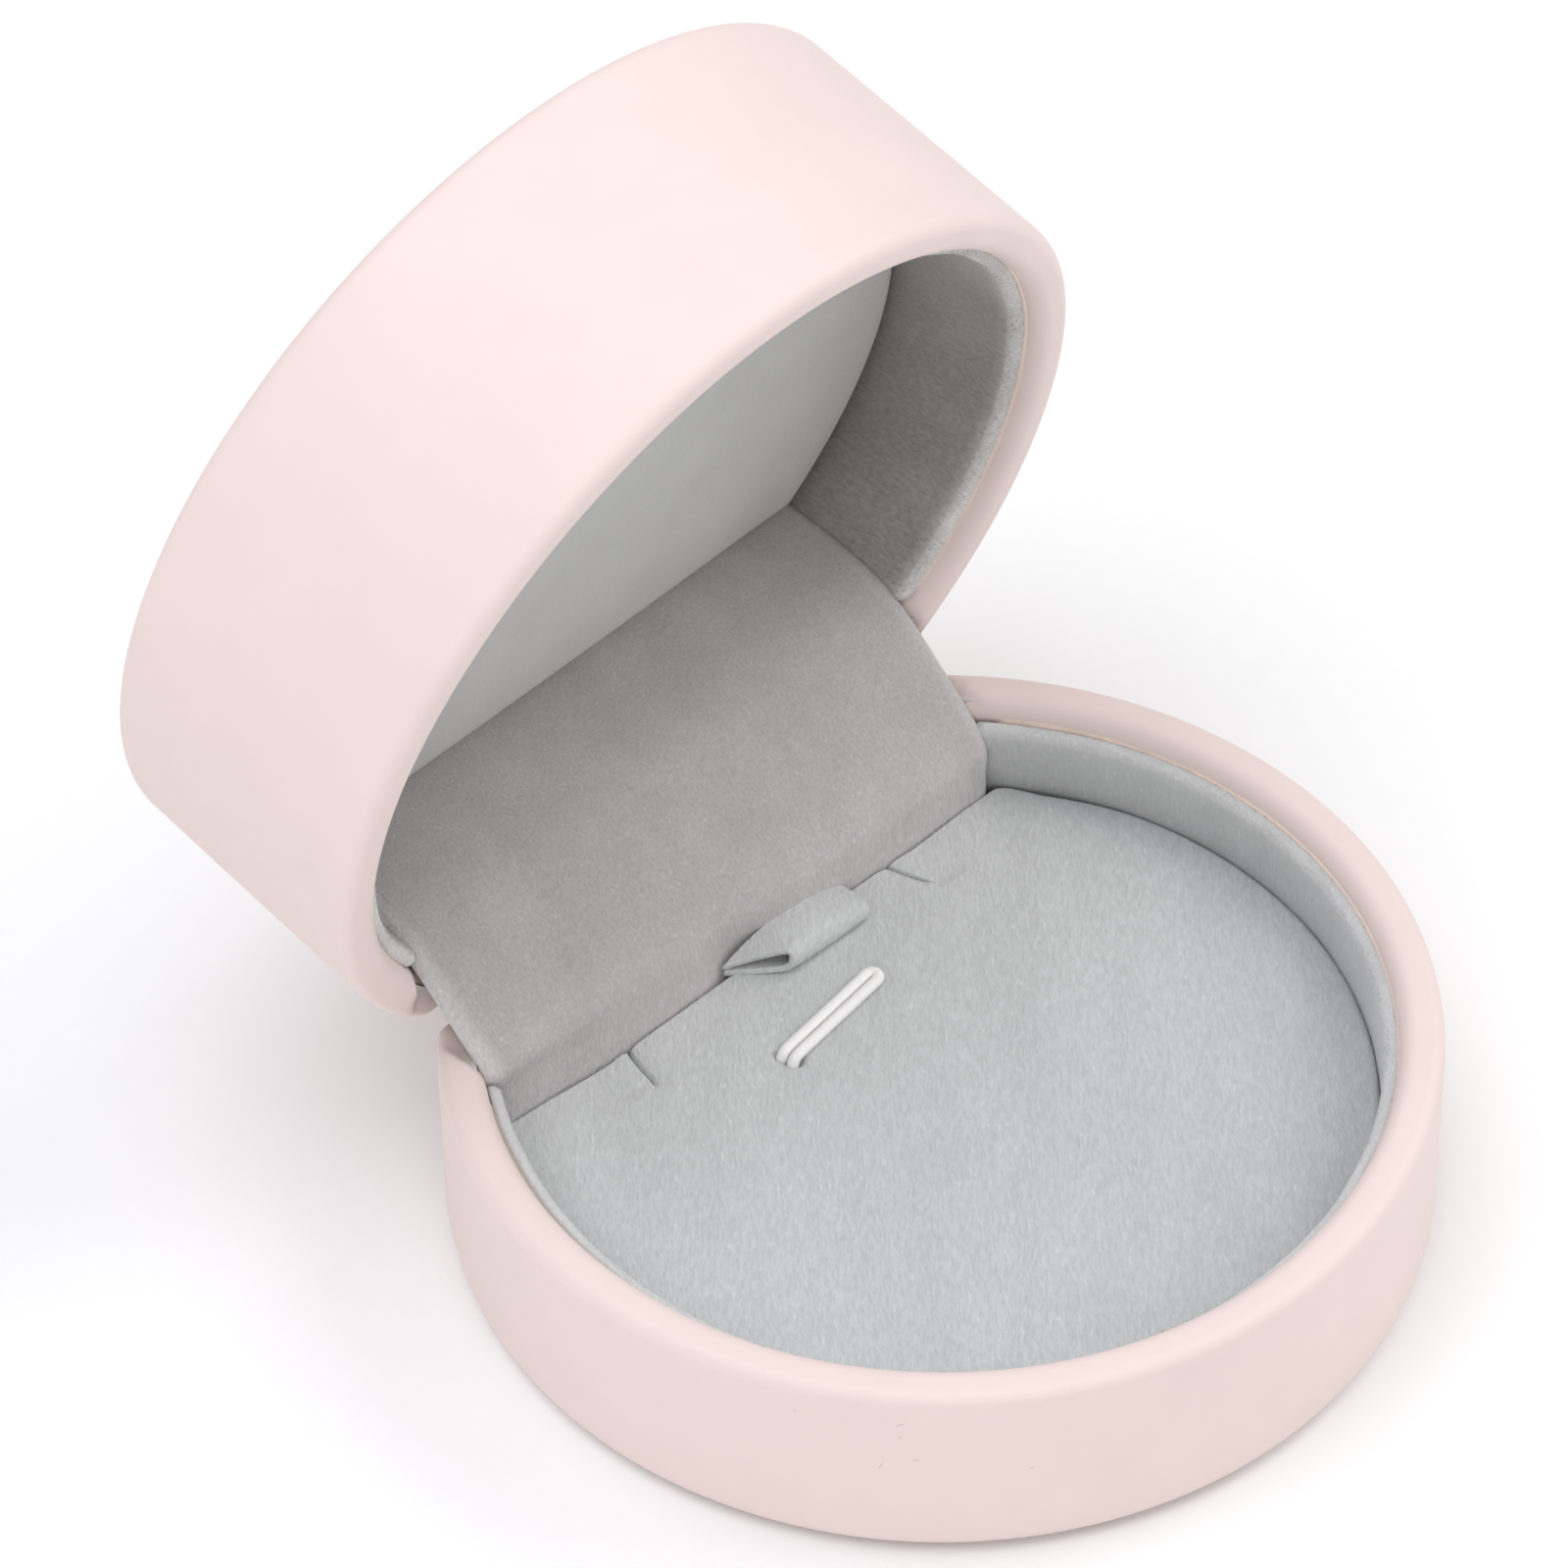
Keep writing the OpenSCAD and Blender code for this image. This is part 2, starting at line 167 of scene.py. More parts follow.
def newGroup(name, inputs, outputs):
    tree = bpy.data.node_groups.new(name, "ShaderNodeTree")
    for label, kind, value in inputs:
        socket = tree.interface.new_socket(label, in_out="INPUT", socket_type="NodeSocket" + kind)
        if value is not None:
            socket.default_value = value
    for label, kind in outputs:
        tree.interface.new_socket(label, in_out="OUTPUT", socket_type="NodeSocket" + kind)
    return tree, tree.nodes.new("NodeGroupInput"), tree.nodes.new("NodeGroupOutput")


def shaded(tree, color, amount):  # color times amount
    return add(tree, "Mix", {"data_type": "RGBA", "blend_type": "MULTIPLY"},
               {0: 1.0, 6: color, 7: amount}).outputs[2]


def mixed(tree, share, first, second):
    return add(tree, "Mix", {"data_type": "RGBA"}, {0: share, 6: first, 7: second}).outputs[2]


def calc(tree, operation, *values):
    return add(tree, "Math", {"operation": operation}, dict(enumerate(values))).outputs[0]


def ranged(tree, value, start, end, low, high):  # start..end stretched to low..high
    return add(tree, "MapRange", {}, {0: value, 1: start, 2: end, 3: low, 4: high}).outputs[0]


def varied(tree, value, edge, amount):  # a noise value turned into 1 - amount .. 1 + amount
    low, high = calc(tree, "SUBTRACT", 1.0, amount), calc(tree, "ADD", 1.0, amount)
    return ranged(tree, value, edge, 1 - edge, low, high)


def noisy(tree, vector, scale, detail, roughness=0.5):
    return add(tree, "TexNoise", {}, {"Vector": vector, "Scale": scale, "Detail": detail,
                                      "Roughness": roughness}).outputs[0]


def broad(tree, vector, scale):  # coordinates for a much larger pattern
    return add(tree, "VectorMath", {"operation": "SCALE"}, {0: vector, "Scale": scale}).outputs[0]


def makeNapGroup():  # velvet pile: short flecks that lean one way, broad soft patches and a little lint
    tree, given, made = newGroup(
        "velvetNap",
        [("Color", "Color", None), ("Vector", "Vector", None), ("Fleck", "Float", 0.06),
         ("Patch", "Float", 0.03), ("Speck", "Float", 0.1), ("PaintedRamp", "Float", 1.0)],
        [("Color", "Color"), ("Height", "Float")])
    vector = given.outputs["Vector"]
    fleck = noisy(tree, vector, 1.0, 2.0, 0.6)
    patch = noisy(tree, broad(tree, vector, 0.045), 1.0, 3.0)
    lint = ranged(tree, noisy(tree, vector, 0.8, 0.0), 0.72, 0.8, 0.0, 1.0)
    both = calc(tree, "MULTIPLY", varied(tree, fleck, 0.3, given.outputs["Fleck"]),
                varied(tree, patch, 0.35, given.outputs["Patch"]))
    linted = calc(tree, "MULTIPLY_ADD", lint, given.outputs["Speck"], both)
    # the ramp passed in paints light and shade over the colour
    tone = calc(tree, "MULTIPLY", linted, given.outputs["PaintedRamp"])
    tree.links.new(shaded(tree, given.outputs["Color"], tone), made.inputs["Color"])
    tree.links.new(fleck, made.inputs["Height"])
    return tree


def makeGrainGroup():  # smooth leather: tiny pebbles, faint clouding, and a roughness that follows them
    tree, given, made = newGroup(
        "leatherGrain",
        [("Color", "Color", None), ("Vector", "Vector", None), ("Clouding", "Float", 0.012),
         ("Roughness", "Float", 0.6)],
        [("Color", "Color"), ("Height", "Float"), ("Roughness", "Float")])
    vector = given.outputs["Vector"]
    pebble = add(tree, "TexVoronoi", {"feature": "SMOOTH_F1"}, {"Vector": vector, "Scale": 1.0}).outputs[0]
    pore = noisy(tree, vector, 2.3, 2.0)
    cloud = noisy(tree, broad(tree, vector, 0.03), 1.0, 2.0)
    tone = varied(tree, cloud, 0.3, given.outputs["Clouding"])
    height = calc(tree, "MULTIPLY_ADD", pore, 0.5, pebble)
    rough = calc(tree, "MULTIPLY_ADD", pore, 0.08, given.outputs["Roughness"])
    tree.links.new(shaded(tree, given.outputs["Color"], tone), made.inputs["Color"])
    tree.links.new(height, made.inputs["Height"])
    tree.links.new(rough, made.inputs["Roughness"])
    return tree


def makeWearGroup():  # edges rubbed lighter or darker where the surface bends sharply
    tree, given, made = newGroup(
        "edgeWear",
        [("Color", "Color", None), ("Worn", "Color", None), ("Vector", "Vector", None),
         ("Amount", "Float", 0.3)],
        [("Color", "Color"), ("Mask", "Float")])
    edge = ranged(tree, add(tree, "NewGeometry").outputs["Pointiness"], 0.51, 0.58, 0.0, 1.0)
    broken = ranged(tree, noisy(tree, given.outputs["Vector"], 1.0, 4.0), 0.4, 0.62, 0.0, 1.0)
    mask = calc(tree, "MULTIPLY", calc(tree, "MULTIPLY", edge, broken), given.outputs["Amount"])
    tree.links.new(mixed(tree, mask, given.outputs["Color"], given.outputs["Worn"]), made.inputs["Color"])
    tree.links.new(mask, made.inputs["Mask"])
    return tree


def makeFibreGroup():  # board, moulding and foam: fine streaks or cells with a little colour change
    tree, given, made = newGroup(
        "fibres",
        [("Color", "Color", None), ("Vector", "Vector", None), ("Contrast", "Float", 0.08)],
        [("Color", "Color"), ("Height", "Float")])
    fine = noisy(tree, given.outputs["Vector"], 1.0, 5.0, 0.65)
    tone = varied(tree, fine, 0.3, given.outputs["Contrast"])
    tree.links.new(shaded(tree, given.outputs["Color"], tone), made.inputs["Color"])
    tree.links.new(fine, made.inputs["Height"])
    return tree


napGroup, grainGroup = makeNapGroup(), makeGrainGroup()
wearGroup, fibreGroup = makeWearGroup(), makeFibreGroup()


def newMaterial(name, constants):
    material = bpy.data.materials.new(name)
    material.use_nodes = True
    tree = material.node_tree
    shader = tree.nodes["Principled BSDF"]
    for label, value in constants.items():
        shader.inputs[label].default_value = value
    return material, tree, shader


def pattern(tree, size, turn=(0, 0, 0)):  # Object coordinates in units of the pattern's own size, in mm
    place = add(tree, "TexCoord").outputs["Object"]
    return add(tree, "Mapping", {"vector_type": "TEXTURE"},
               {"Vector": place, "Rotation": turn, "Scale": [side * mm for side in size]}).outputs[0]


def grouped(tree, group, sockets):
    return add(tree, "Group", {"node_tree": group}, sockets)


def bumped(tree, shader, height, distance):
    bump = add(tree, "Bump", {}, {"Height": height, "Distance": distance, "Strength": 1.0})
    tree.links.new(bump.outputs[0], shader.inputs["Normal"])


def rubbed(tree, shader, color, look, size, amount):  # the last step of a colour, with its edges worn
    wear = grouped(tree, wearGroup, {"Color": color, "Worn": (*look["worn"], 1),
                                     "Vector": pattern(tree, (size, size, size)), "Amount": amount})
    tree.links.new(wear.outputs["Color"], shader.inputs["Base Color"])


def velvet(name, look):
    material, tree, shader = newMaterial(name, {
        "Roughness": 0.95, "Specular IOR Level": 0.1, "Sheen Weight": look["sheen"], "Sheen Roughness": 0.45,
        "Sheen Tint": (*look["sheenTint"], 1)})
    axis, start, end, first, last = look["shadeRamp"]  # painted light and shade: the colour ramps from one tone to another from end to end
    place = add(tree, "SeparateXYZ", {}, {0: add(tree, "TexCoord").outputs["Object"]})
    tone = ranged(tree, place.outputs[axis], start * mm, end * mm, first, last)
    # painted light and shade: each point's value mixes in the second colour, lighter or darker
    fold = add(tree, "Attribute", {"attribute_name": "fold"})
    color = mixed(tree, fold.outputs["Fac"], (*look["color"], 1), (*look["foldColor"], 1))
    lean = (0, 0, math.radians(look["lean"]))
    nap = grouped(tree, napGroup, {"Color": color, "Vector": pattern(tree, look["fleckSize"], lean),
                                   "PaintedRamp": tone, "Fleck": look["fleck"], "Patch": look["patch"],
                                   "Speck": look["speck"]})
    tree.links.new(nap.outputs["Color"], shader.inputs["Base Color"])
    bumped(tree, shader, nap.outputs["Height"], look["depth"] * mm)
    return material


def leather(name, look):
    material, tree, shader = newMaterial(name, {"Specular IOR Level": 0.35, "Sheen Weight": 0.08,
                                                "Sheen Roughness": 0.5})
    grain = grouped(tree, grainGroup, {
        "Color": (*look["color"], 1), "Vector": pattern(tree, look["grainSize"]),
        "Clouding": look["clouding"], "Roughness": look["roughness"]})
    rubbed(tree, shader, grain.outputs["Color"], look, 1.2, look["wear"])
    tree.links.new(grain.outputs["Roughness"], shader.inputs["Roughness"])
    bumped(tree, shader, grain.outputs["Height"], look["depth"] * mm)
    return material


def plain(name, look):  # board, moulded plastic, foam, elastic and steel
    material, tree, shader = newMaterial(name, look.get("shader") or {"Roughness": look["roughness"],
                                                                      "Specular IOR Level": 0.3})
    fibres = grouped(tree, fibreGroup, {"Color": (*look["color"], 1), "Vector": pattern(tree, look["size"]),
                                        "Contrast": look["contrast"]})
    rubbed(tree, shader, fibres.outputs["Color"], look, look.get("wearSize", 0.8), look["wear"])
    if "rough" in look:  # brushed lines change the gloss too
        tree.links.new(ranged(tree, fibres.outputs["Height"], 0.25, 0.75, *look["rough"]),
                       shader.inputs["Roughness"])
    bumped(tree, shader, fibres.outputs["Height"], look["depth"] * mm)
    return material


velvetLooks = {  # sizes in millimetres; the painted shade ramp is an axis, from, to and two tones
    "padVelvet": {
        # its second colour is painted shade where the pad meets the ring wall
        "color": (0.565, 0.57, 0.57), "foldColor": (0.47, 0.475, 0.485), "fleckSize": (0.28, 1.1, 0.5),
        "lean": -45, "fleck": 0.09, "patch": 0.03, "speck": 0.12, "depth": 0.12,
        # painted shade: darker towards the front, lighter along the flap
        "shadeRamp": ("Y", -38, 23, 0.92, 1.07), "sheen": 0.25, "sheenTint": (1, 1, 1)},
    "ringVelvet": {
        # its second colour is painted light on the ring's top band
        "color": (0.54, 0.545, 0.545), "foldColor": (0.62, 0.62, 0.62), "fleckSize": (0.3, 0.3, 1.0),
        "lean": 0, "fleck": 0.05, "patch": 0.03, "speck": 0.1, "depth": 0.09,
        "shadeRamp": ("Z", 8, 18, 1.0, 1.0), "sheen": 0.45, "sheenTint": (1, 1, 1)},
    "lidRingVelvet": {
        # darker than the base's ring velvet: painted shade in the lid's well; its second colour is painted
        # light on the top band
        "color": (0.29, 0.28, 0.275), "foldColor": (0.54, 0.53, 0.52), "fleckSize": (0.35, 0.7, 0.35),
        "lean": 0, "fleck": 0.16, "patch": 0.08, "speck": 0.06, "depth": 0.1,
        # painted shade: lighter low in the well, darker higher up
        "shadeRamp": ("Z", 30, 80, 1.2, 0.92), "sheen": 0.5, "sheenTint": (1, 0.99, 0.97)},
    "flapVelvet": {
        # its second colour is painted light along the flap's edges
        "color": (0.51, 0.487, 0.49), "foldColor": (0.66, 0.645, 0.64), "fleckSize": (0.3, 0.35, 0.9),
        "lean": 0, "fleck": 0.10, "patch": 0.05, "speck": 0.12, "depth": 0.1,
        # painted shade: lighter low on the wall, darker under the lid
        "shadeRamp": ("Z", 11, 22, 1.15, 0.9), "sheen": 0.35, "sheenTint": (1, 0.99, 0.99)},
    "lidPadCloth": {
        "color": (0.565, 0.565, 0.555), "foldColor": (0.6, 0.6, 0.6), "fleckSize": (0.4, 0.4, 0.4),
        "lean": 0, "fleck": 0.02, "patch": 0.03, "speck": 0.03, "depth": 0.03,
        "shadeRamp": ("Z", 30, 80, 1.0, 1.0), "sheen": 0.2, "sheenTint": (1, 1, 1)},
}
leatherLooks = {
    "pinkLeather": {"color": (0.82, 0.68, 0.648), "worn": (0.87, 0.74, 0.72),
                    "grainSize": (0.22, 0.22, 0.22), "clouding": 0.012, "roughness": 0.56,
                    "wear": 0.25, "depth": 0.004},
    "rawLeatherEdge": {"color": (0.93, 0.76, 0.66), "worn": (0.95, 0.82, 0.74), "grainSize": (0.1, 0.1, 0.1),
                       "clouding": 0.06, "roughness": 0.7, "wear": 0.1, "depth": 0.02},
}
plainLooks = {
    "linerBoard": {"color": (0.60, 0.55, 0.48), "worn": (0.7, 0.66, 0.6), "size": (0.2, 0.2, 0.9),
                   "contrast": 0.1, "roughness": 0.85, "wear": 0.4, "depth": 0.02},
    "mouldedCore": {"color": (0.62, 0.60, 0.56), "worn": (0.74, 0.72, 0.69), "size": (1.5, 1.5, 1.5),
                    "contrast": 0.04, "roughness": 0.5, "wear": 0.3, "depth": 0.006},
    "whiteFoam": {"color": (0.82, 0.81, 0.78), "worn": (0.88, 0.87, 0.85), "size": (0.25, 0.25, 0.25),
                  "contrast": 0.16, "roughness": 0.95, "wear": 0.2, "depth": 0.08},
    "whiteElastic": {"color": (0.93, 0.92, 0.91), "worn": (0.9, 0.88, 0.87), "size": (0.5, 0.09, 0.09),
                     "contrast": 0.05, "roughness": 0.45, "wear": 0.2, "depth": 0.012},
    "strayHair": {"color": (0.42, 0.36, 0.34), "worn": (0.5, 0.45, 0.42), "size": (0.1, 0.1, 0.1),
                  "contrast": 0.1, "roughness": 0.7, "wear": 0.1, "depth": 0.002},
    "paleFloor": {"color": (0.93, 0.93, 0.93), "worn": (0.95, 0.95, 0.95), "size": (3, 3, 3),
                  "contrast": 0.004, "roughness": 0.9, "wear": 0.0, "depth": 0.002},
    "satinSteel": {"color": (0.56, 0.56, 0.57), "worn": (0.75, 0.74, 0.72), "size": (2.5, 0.08, 0.08),
                   "contrast": 0.12, "rough": (0.24, 0.42), "wear": 0.5, "wearSize": 0.5,
                   "depth": 0.004, "shader": {"Metallic": 1.0, "Anisotropic": 0.4}},
}
finishes = {}
for make, looks in ((velvet, velvetLooks), (leather, leatherLooks), (plain, plainLooks)):
    finishes.update({name: make(name, look) for name, look in looks.items()})
print("materials made")


# ---- mesh building blocks ----
def outlinePoints(inset, z):  # the drum's D, moved in by inset
    return shapeD(drum["radius"] - inset, drum["back"] - inset * drum["backWall"] / drum["wall"],
                  max(drum["corner"] - inset, 0.35 * mm), z)


def shapeD(radius, back, corner, z):  # round side, left corner, flat back, right corner
    centreX = math.sqrt((radius - corner) ** 2 - (back - corner) ** 2)
    start = math.atan2(back - corner, centreX)
    fine, whole = math.radians(drum["fineArc"]), math.pi + 2 * start
    turns = [fine * i / drum["fineSteps"] for i in range(drum["fineSteps"])]
    turns += [fine + (whole - 2 * fine) * i / drum["arcSteps"] for i in range(drum["arcSteps"])]
    turns += [whole - fine + fine * i / drum["fineSteps"] for i in range(drum["fineSteps"] + 1)]
    points = [Vector((radius * math.cos(start - turn), radius * math.sin(start - turn), z)) for turn in turns]
    for side in (-1, 1):
        for i in range(drum["cornerSteps"]):
            share = (i + 1) / drum["cornerSteps"] if side < 0 else 1 - i / drum["cornerSteps"]
            turn = start + (math.pi / 2 - start) * share
            points.append(Vector((side * (centreX + corner * math.cos(turn)),
                                  back - corner + corner * math.sin(turn), z)))
        if side < 0:
            points += [Vector((centreX * (2 * i / drum["backSteps"] - 1), back, z))
                       for i in range(1, drum["backSteps"])]
    return points


def loft(bm, rings, closed):  # a wall drawn out through matching rings, joined or filled at its ends
    made = bmesh.ops.create_circle(bm, segments=len(rings[0]), radius=1)
    order = {vert: i for i, vert in enumerate(made["verts"])}
    for vert, i in order.items():
        vert.co = rings[0][i]
    loop = list(dict.fromkeys(edge for vert in order for edge in vert.link_edges))
    first, ends = loop, list(order)
    for points in rings[1:] + (rings[:1] if closed else []):
        drawn = bmesh.ops.extrude_edge_only(bm, edges=loop)["geom"]
        fresh = {}
        for vert in [item for item in drawn if isinstance(item, bmesh.types.BMVert)]:
            fresh[vert] = next(order[edge.other_vert(vert)] for edge in vert.link_edges
                               if edge.other_vert(vert) in order)
            vert.co = points[fresh[vert]]
        loop = [item for item in drawn if isinstance(item, bmesh.types.BMEdge)
                and all(vert in fresh for vert in item.verts)]
        order = fresh
    if closed:
        bmesh.ops.remove_doubles(bm, verts=ends + list(order), dist=0.0001 * mm)
    else:
        bmesh.ops.holes_fill(bm, edges=first)
        bmesh.ops.holes_fill(bm, edges=loop)


def drawnIn(ring, centre, shares):  # copies of a ring drawn in towards a centre
    return [[centre + (point - centre) * share for point in ring] for share in shares]


def gridRow(vert, rows):  # which row of a unit grid a point is in
    return min(rows - 1, max(0, round((vert.co.y + 0.5) * (rows - 1))))


def arc(centre, radius, start, end, steps):  # points of a rounding, angles in degrees
    turns = [math.radians(start + (end - start) * i / steps) for i in range(steps + 1)]
    return [(centre[0] + radius * math.cos(turn), centre[1] + radius * math.sin(turn)) for turn in turns]


def roundedBlock(size, centre, bend, segments):
    bm = bmesh.new()
    bmesh.ops.create_cube(bm, size=1)
    bmesh.ops.scale(bm, vec=size, verts=bm.verts)
    bmesh.ops.translate(bm, vec=centre, verts=bm.verts)
    bmesh.ops.bevel(bm, geom=bm.edges[:], offset=bend, segments=segments, profile=0.5, affect="EDGES",
                    material=-1)
    return bm


def finishPiece(bm, name, material, body=None, place=None, replaced=()):
    if place is not None:
        bmesh.ops.transform(bm, matrix=place, verts=bm.verts)
    bmesh.ops.recalc_face_normals(bm, faces=bm.faces)
    for face in bm.faces:
        face.smooth = True
    mesh = bpy.data.meshes.new(name)
    bm.to_mesh(mesh)
    bm.free()
    piece = bpy.data.objects.new(name, mesh)
    bpy.context.scene.collection.objects.link(piece)
    mesh.materials.append(finishes[material])
    if replaced:
        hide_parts(*replaced)
    if body:
        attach(piece, body)
    return piece


def addModifier(piece, kind, settings):
    modifier = piece.modifiers.new(kind.lower(), kind)
    for key, value in settings.items():
        setattr(modifier, key, value)
    return modifier


def applyModifiers(piece):
    bpy.context.view_layer.update()
    solid = bpy.data.meshes.new_from_object(piece.evaluated_get(bpy.context.evaluated_depsgraph_get()))
    piece.modifiers.clear()
    old = piece.data
    piece.data = solid
    bpy.data.meshes.remove(old)


def rounded(points, steps):  # a smooth line through given points
    line = []
    for i in range(len(points) - 1):
        before, here = Vector(points[max(i - 1, 0)]), Vector(points[i])
        there, after = Vector(points[i + 1]), Vector(points[min(i + 2, len(points) - 1)])
        for step in range(steps):
            t = step / steps
            bend = 2 * before - 5 * here + 4 * there - after
            twist = 3 * here - before - 3 * there + after
            line.append(0.5 * ((2 * here) + (there - before) * t + bend * t * t + twist * t * t * t))
    return line + [Vector(points[-1])]


# ---- leather covers ----
cover = {
    "leather": 0.7 * mm,
    "rimOuter": 1.3 * mm,  # rounding on the rim's outer edge
    "rimInner": 1.7 * mm,  # and where it rolls into the well
    "turnIn": 6 * mm,
    "lip": 3.5 * mm,  # how far the leather is turned over the end disc
    "dipX": 32.6 * mm,  # between these the back of the rim lies lower, to let the flap fold
    "dip": 0.75 * mm,
    "uneven": 0.05 * mm,  # hand wrapping leaves the walls a hair uneven
    "baseFoot": 2.2 * mm,  # roundings at the closed end of each drum
    "lidFoot": 1.6 * mm,
}
knuckleRoom = {"half": 14.6 * mm, "front": 30.4 * mm, "low": 17.2 * mm, "deep": 10 * mm, "round": 0.5 * mm}


def coverRings(height, foot):
    wall, leatherT, outer, inner = drum["wall"], cover["leather"], cover["rimOuter"], cover["rimInner"]
    hold = 0.4 * mm  # support rings beside each rounding keep the flats flat
    profile = [(wall, -cover["turnIn"]), (wall, -inner - hold)]
    profile += arc((wall - inner, -inner), inner, 0, 90, 8)
    profile += arc((outer, -outer), outer, 90, 180, 7)
    profile += [(0, -outer - hold), (0, -height * 0.5), (0, foot + hold - height)]
    profile += arc((foot, foot - height), foot, 180, 270, 9)
    profile += [(cover["lip"] - 0.15 * mm, -height), (cover["lip"], 0.15 * mm - height),
                (cover["lip"], leatherT - height)]
    profile += arc((foot, foot - height), foot - leatherT, 270, 180, 4)
    profile += arc((outer, -outer), outer - leatherT, 180, 90, 3)
    profile += arc((wall - inner, -inner), inner - leatherT, 90, 0, 3)
    profile += [(wall - leatherT, -cover["turnIn"])]
    return [outlinePoints(inset, z) for inset, z in profile]


def settleRim(bm):  # the rim dips where the flap crosses it
    for vert in bm.verts:
        x, y, z = vert.co
        beside = 1 - eased(abs(x), cover["dipX"] - 0.5 * mm, cover["dipX"] + 0.4 * mm)
        behind = eased(y, 22 * mm, 24 * mm) * eased(z, -6 * mm, -1 * mm)
        slope = 1 - 0.95 * eased(y, 28.6 * mm, 31.2 * mm)
        vert.co.z -= cover["dip"] * beside * behind * slope
        swell = noise.noise(Vector((x, y, z * 2)) * 60) * cover["uneven"]
        vert.co += Vector((x, y, 0)).normalized() * swell


def makeBaseCover():
    height = coverHigh.z - coverLow.z
    bm = bmesh.new()
    loft(bm, coverRings(height, cover["baseFoot"]), True)
    settleRim(bm)
    piece = finishPiece(bm, "baseCover", "pinkLeather", "base", toBase, ["base_leather"])
    kit = knuckleRoom  # cut out of the back of the rim for the knuckles
    deep = kit["deep"]
    notch = roundedBlock((2 * kit["half"], deep, deep), (0, kit["front"] + deep / 2, kit["low"] + deep / 2),
                         kit["round"], 3)
    cutter = finishPiece(notch, "cutter", "pinkLeather")
    addModifier(piece, "BOOLEAN", {"operation": "DIFFERENCE", "object": cutter, "solver": "EXACT"})
    applyModifiers(piece)
    bpy.data.objects.remove(cutter)
    return piece


def makeLidCover():
    bm = bmesh.new()
    loft(bm, coverRings(lidHigh.z - lidLow.z, cover["lidFoot"]), True)
    settleRim(bm)
    return finishPiece(bm, "lidCover", "pinkLeather", "lid", toLid, ["lid_leather"])


def makeDisc(name, height, thick, place, body, node):
    bm = bmesh.new()
    edge = cover["lip"] + 0.12 * mm
    bend = 0.3 * mm
    profile = arc((edge + bend, bend - height), bend, 180, 270, 4)
    profile = [(edge, thick - height)] + profile + [(edge + bend + 0.5 * mm, -height)]
    loft(bm, [outlinePoints(inset, z) for inset, z in profile], False)
    return finishPiece(bm, name, "pinkLeather", body, place, [node])


makeCamera()
makeLamps()
makeBaseCover()
makeLidCover()
sheetLow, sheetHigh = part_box("bottom_sheet")
makeDisc("undersideSheet", coverHigh.z - sheetLow.z, sheetHigh.z - sheetLow.z, toBase, "base", "bottom_sheet")
makeDisc("lidTopDisc", lidHigh.z - lidLow.z, cover["leather"], toLid, "lid", "lid_top_leather")
print("leather covers made")

# ---- velvet rings ----
rings = {
    "base": {"node": "base_liner_velvet", "inner": 39.6 * mm, "depth": 17.3 * mm, "drop": 2.15 * mm,
             "ends": (25.9 * mm, 24.6 * mm), "material": "ringVelvet", "place": toBase},
    "lid": {"node": "lid_liner_velvet", "inner": 39.4 * mm, "depth": 22 * mm, "drop": 1.75 * mm,
            "ends": (24.1 * mm, 24.1 * mm), "material": "lidRingVelvet", "place": toLid},
}  # ends are the y of the left and right end, against the flap
ringShape = {
    "outer": 40.85 * mm,
    "velvet": 0.6 * mm,
    "fold": (0.5 * mm, 1.5 * mm),  # painted light: the velvet is paler this far down from the top, where light falls on the ring's top band
    "innerBend": 1.05 * mm,
    "outerBend": 0.3 * mm,
    "start": 38,  # degrees past the flap, trimmed off flat afterwards
    "steps": 190,
    "offLeft": 0.52 * mm,  # how far the base's ring stands off the leather on its left
    "offRight": 0.4 * mm,  # and at its right end
    "waver": 0.12 * mm,
}


def ringGap(body, turn):  # turn is in degrees, 0 at the right
    if body == "lid":
        return 0
    left = eased(turn, 138, 156) * (1 - eased(turn, 178, 205))
    fromEnd = abs((turn + 180) % 360 - 180 - 36)
    return ringShape["offLeft"] * left + ringShape["offRight"] * (1 - eased(fromEnd, 4, 22))


def markPaintedShading(piece, share):  # a value on each point that the velvet's colour follows, for painted light and shade
    fold = piece.data.attributes.new("fold", "FLOAT", "POINT")
    for vert, value in zip(piece.data.vertices, fold.data):
        value.value = share(vert.co)


def sweepSection(section, fromFlap):  # swept round the drum from one side of the flap to the other
    start = math.radians(fromFlap)
    spot = Vector((math.cos(start), math.sin(start), 0))
    bm = bmesh.new()
    corners = [bm.verts.new(spot * radius + Vector((0, 0, z))) for radius, z in section]
    edges = [bm.edges.new((corners[i - 1], corners[i])) for i in range(len(corners))]
    bmesh.ops.spin(bm, geom=corners + edges, cent=(0, 0, 0), axis=(0, 0, -1), angle=math.pi + 2 * start,
                   steps=ringShape["steps"])
    return bm


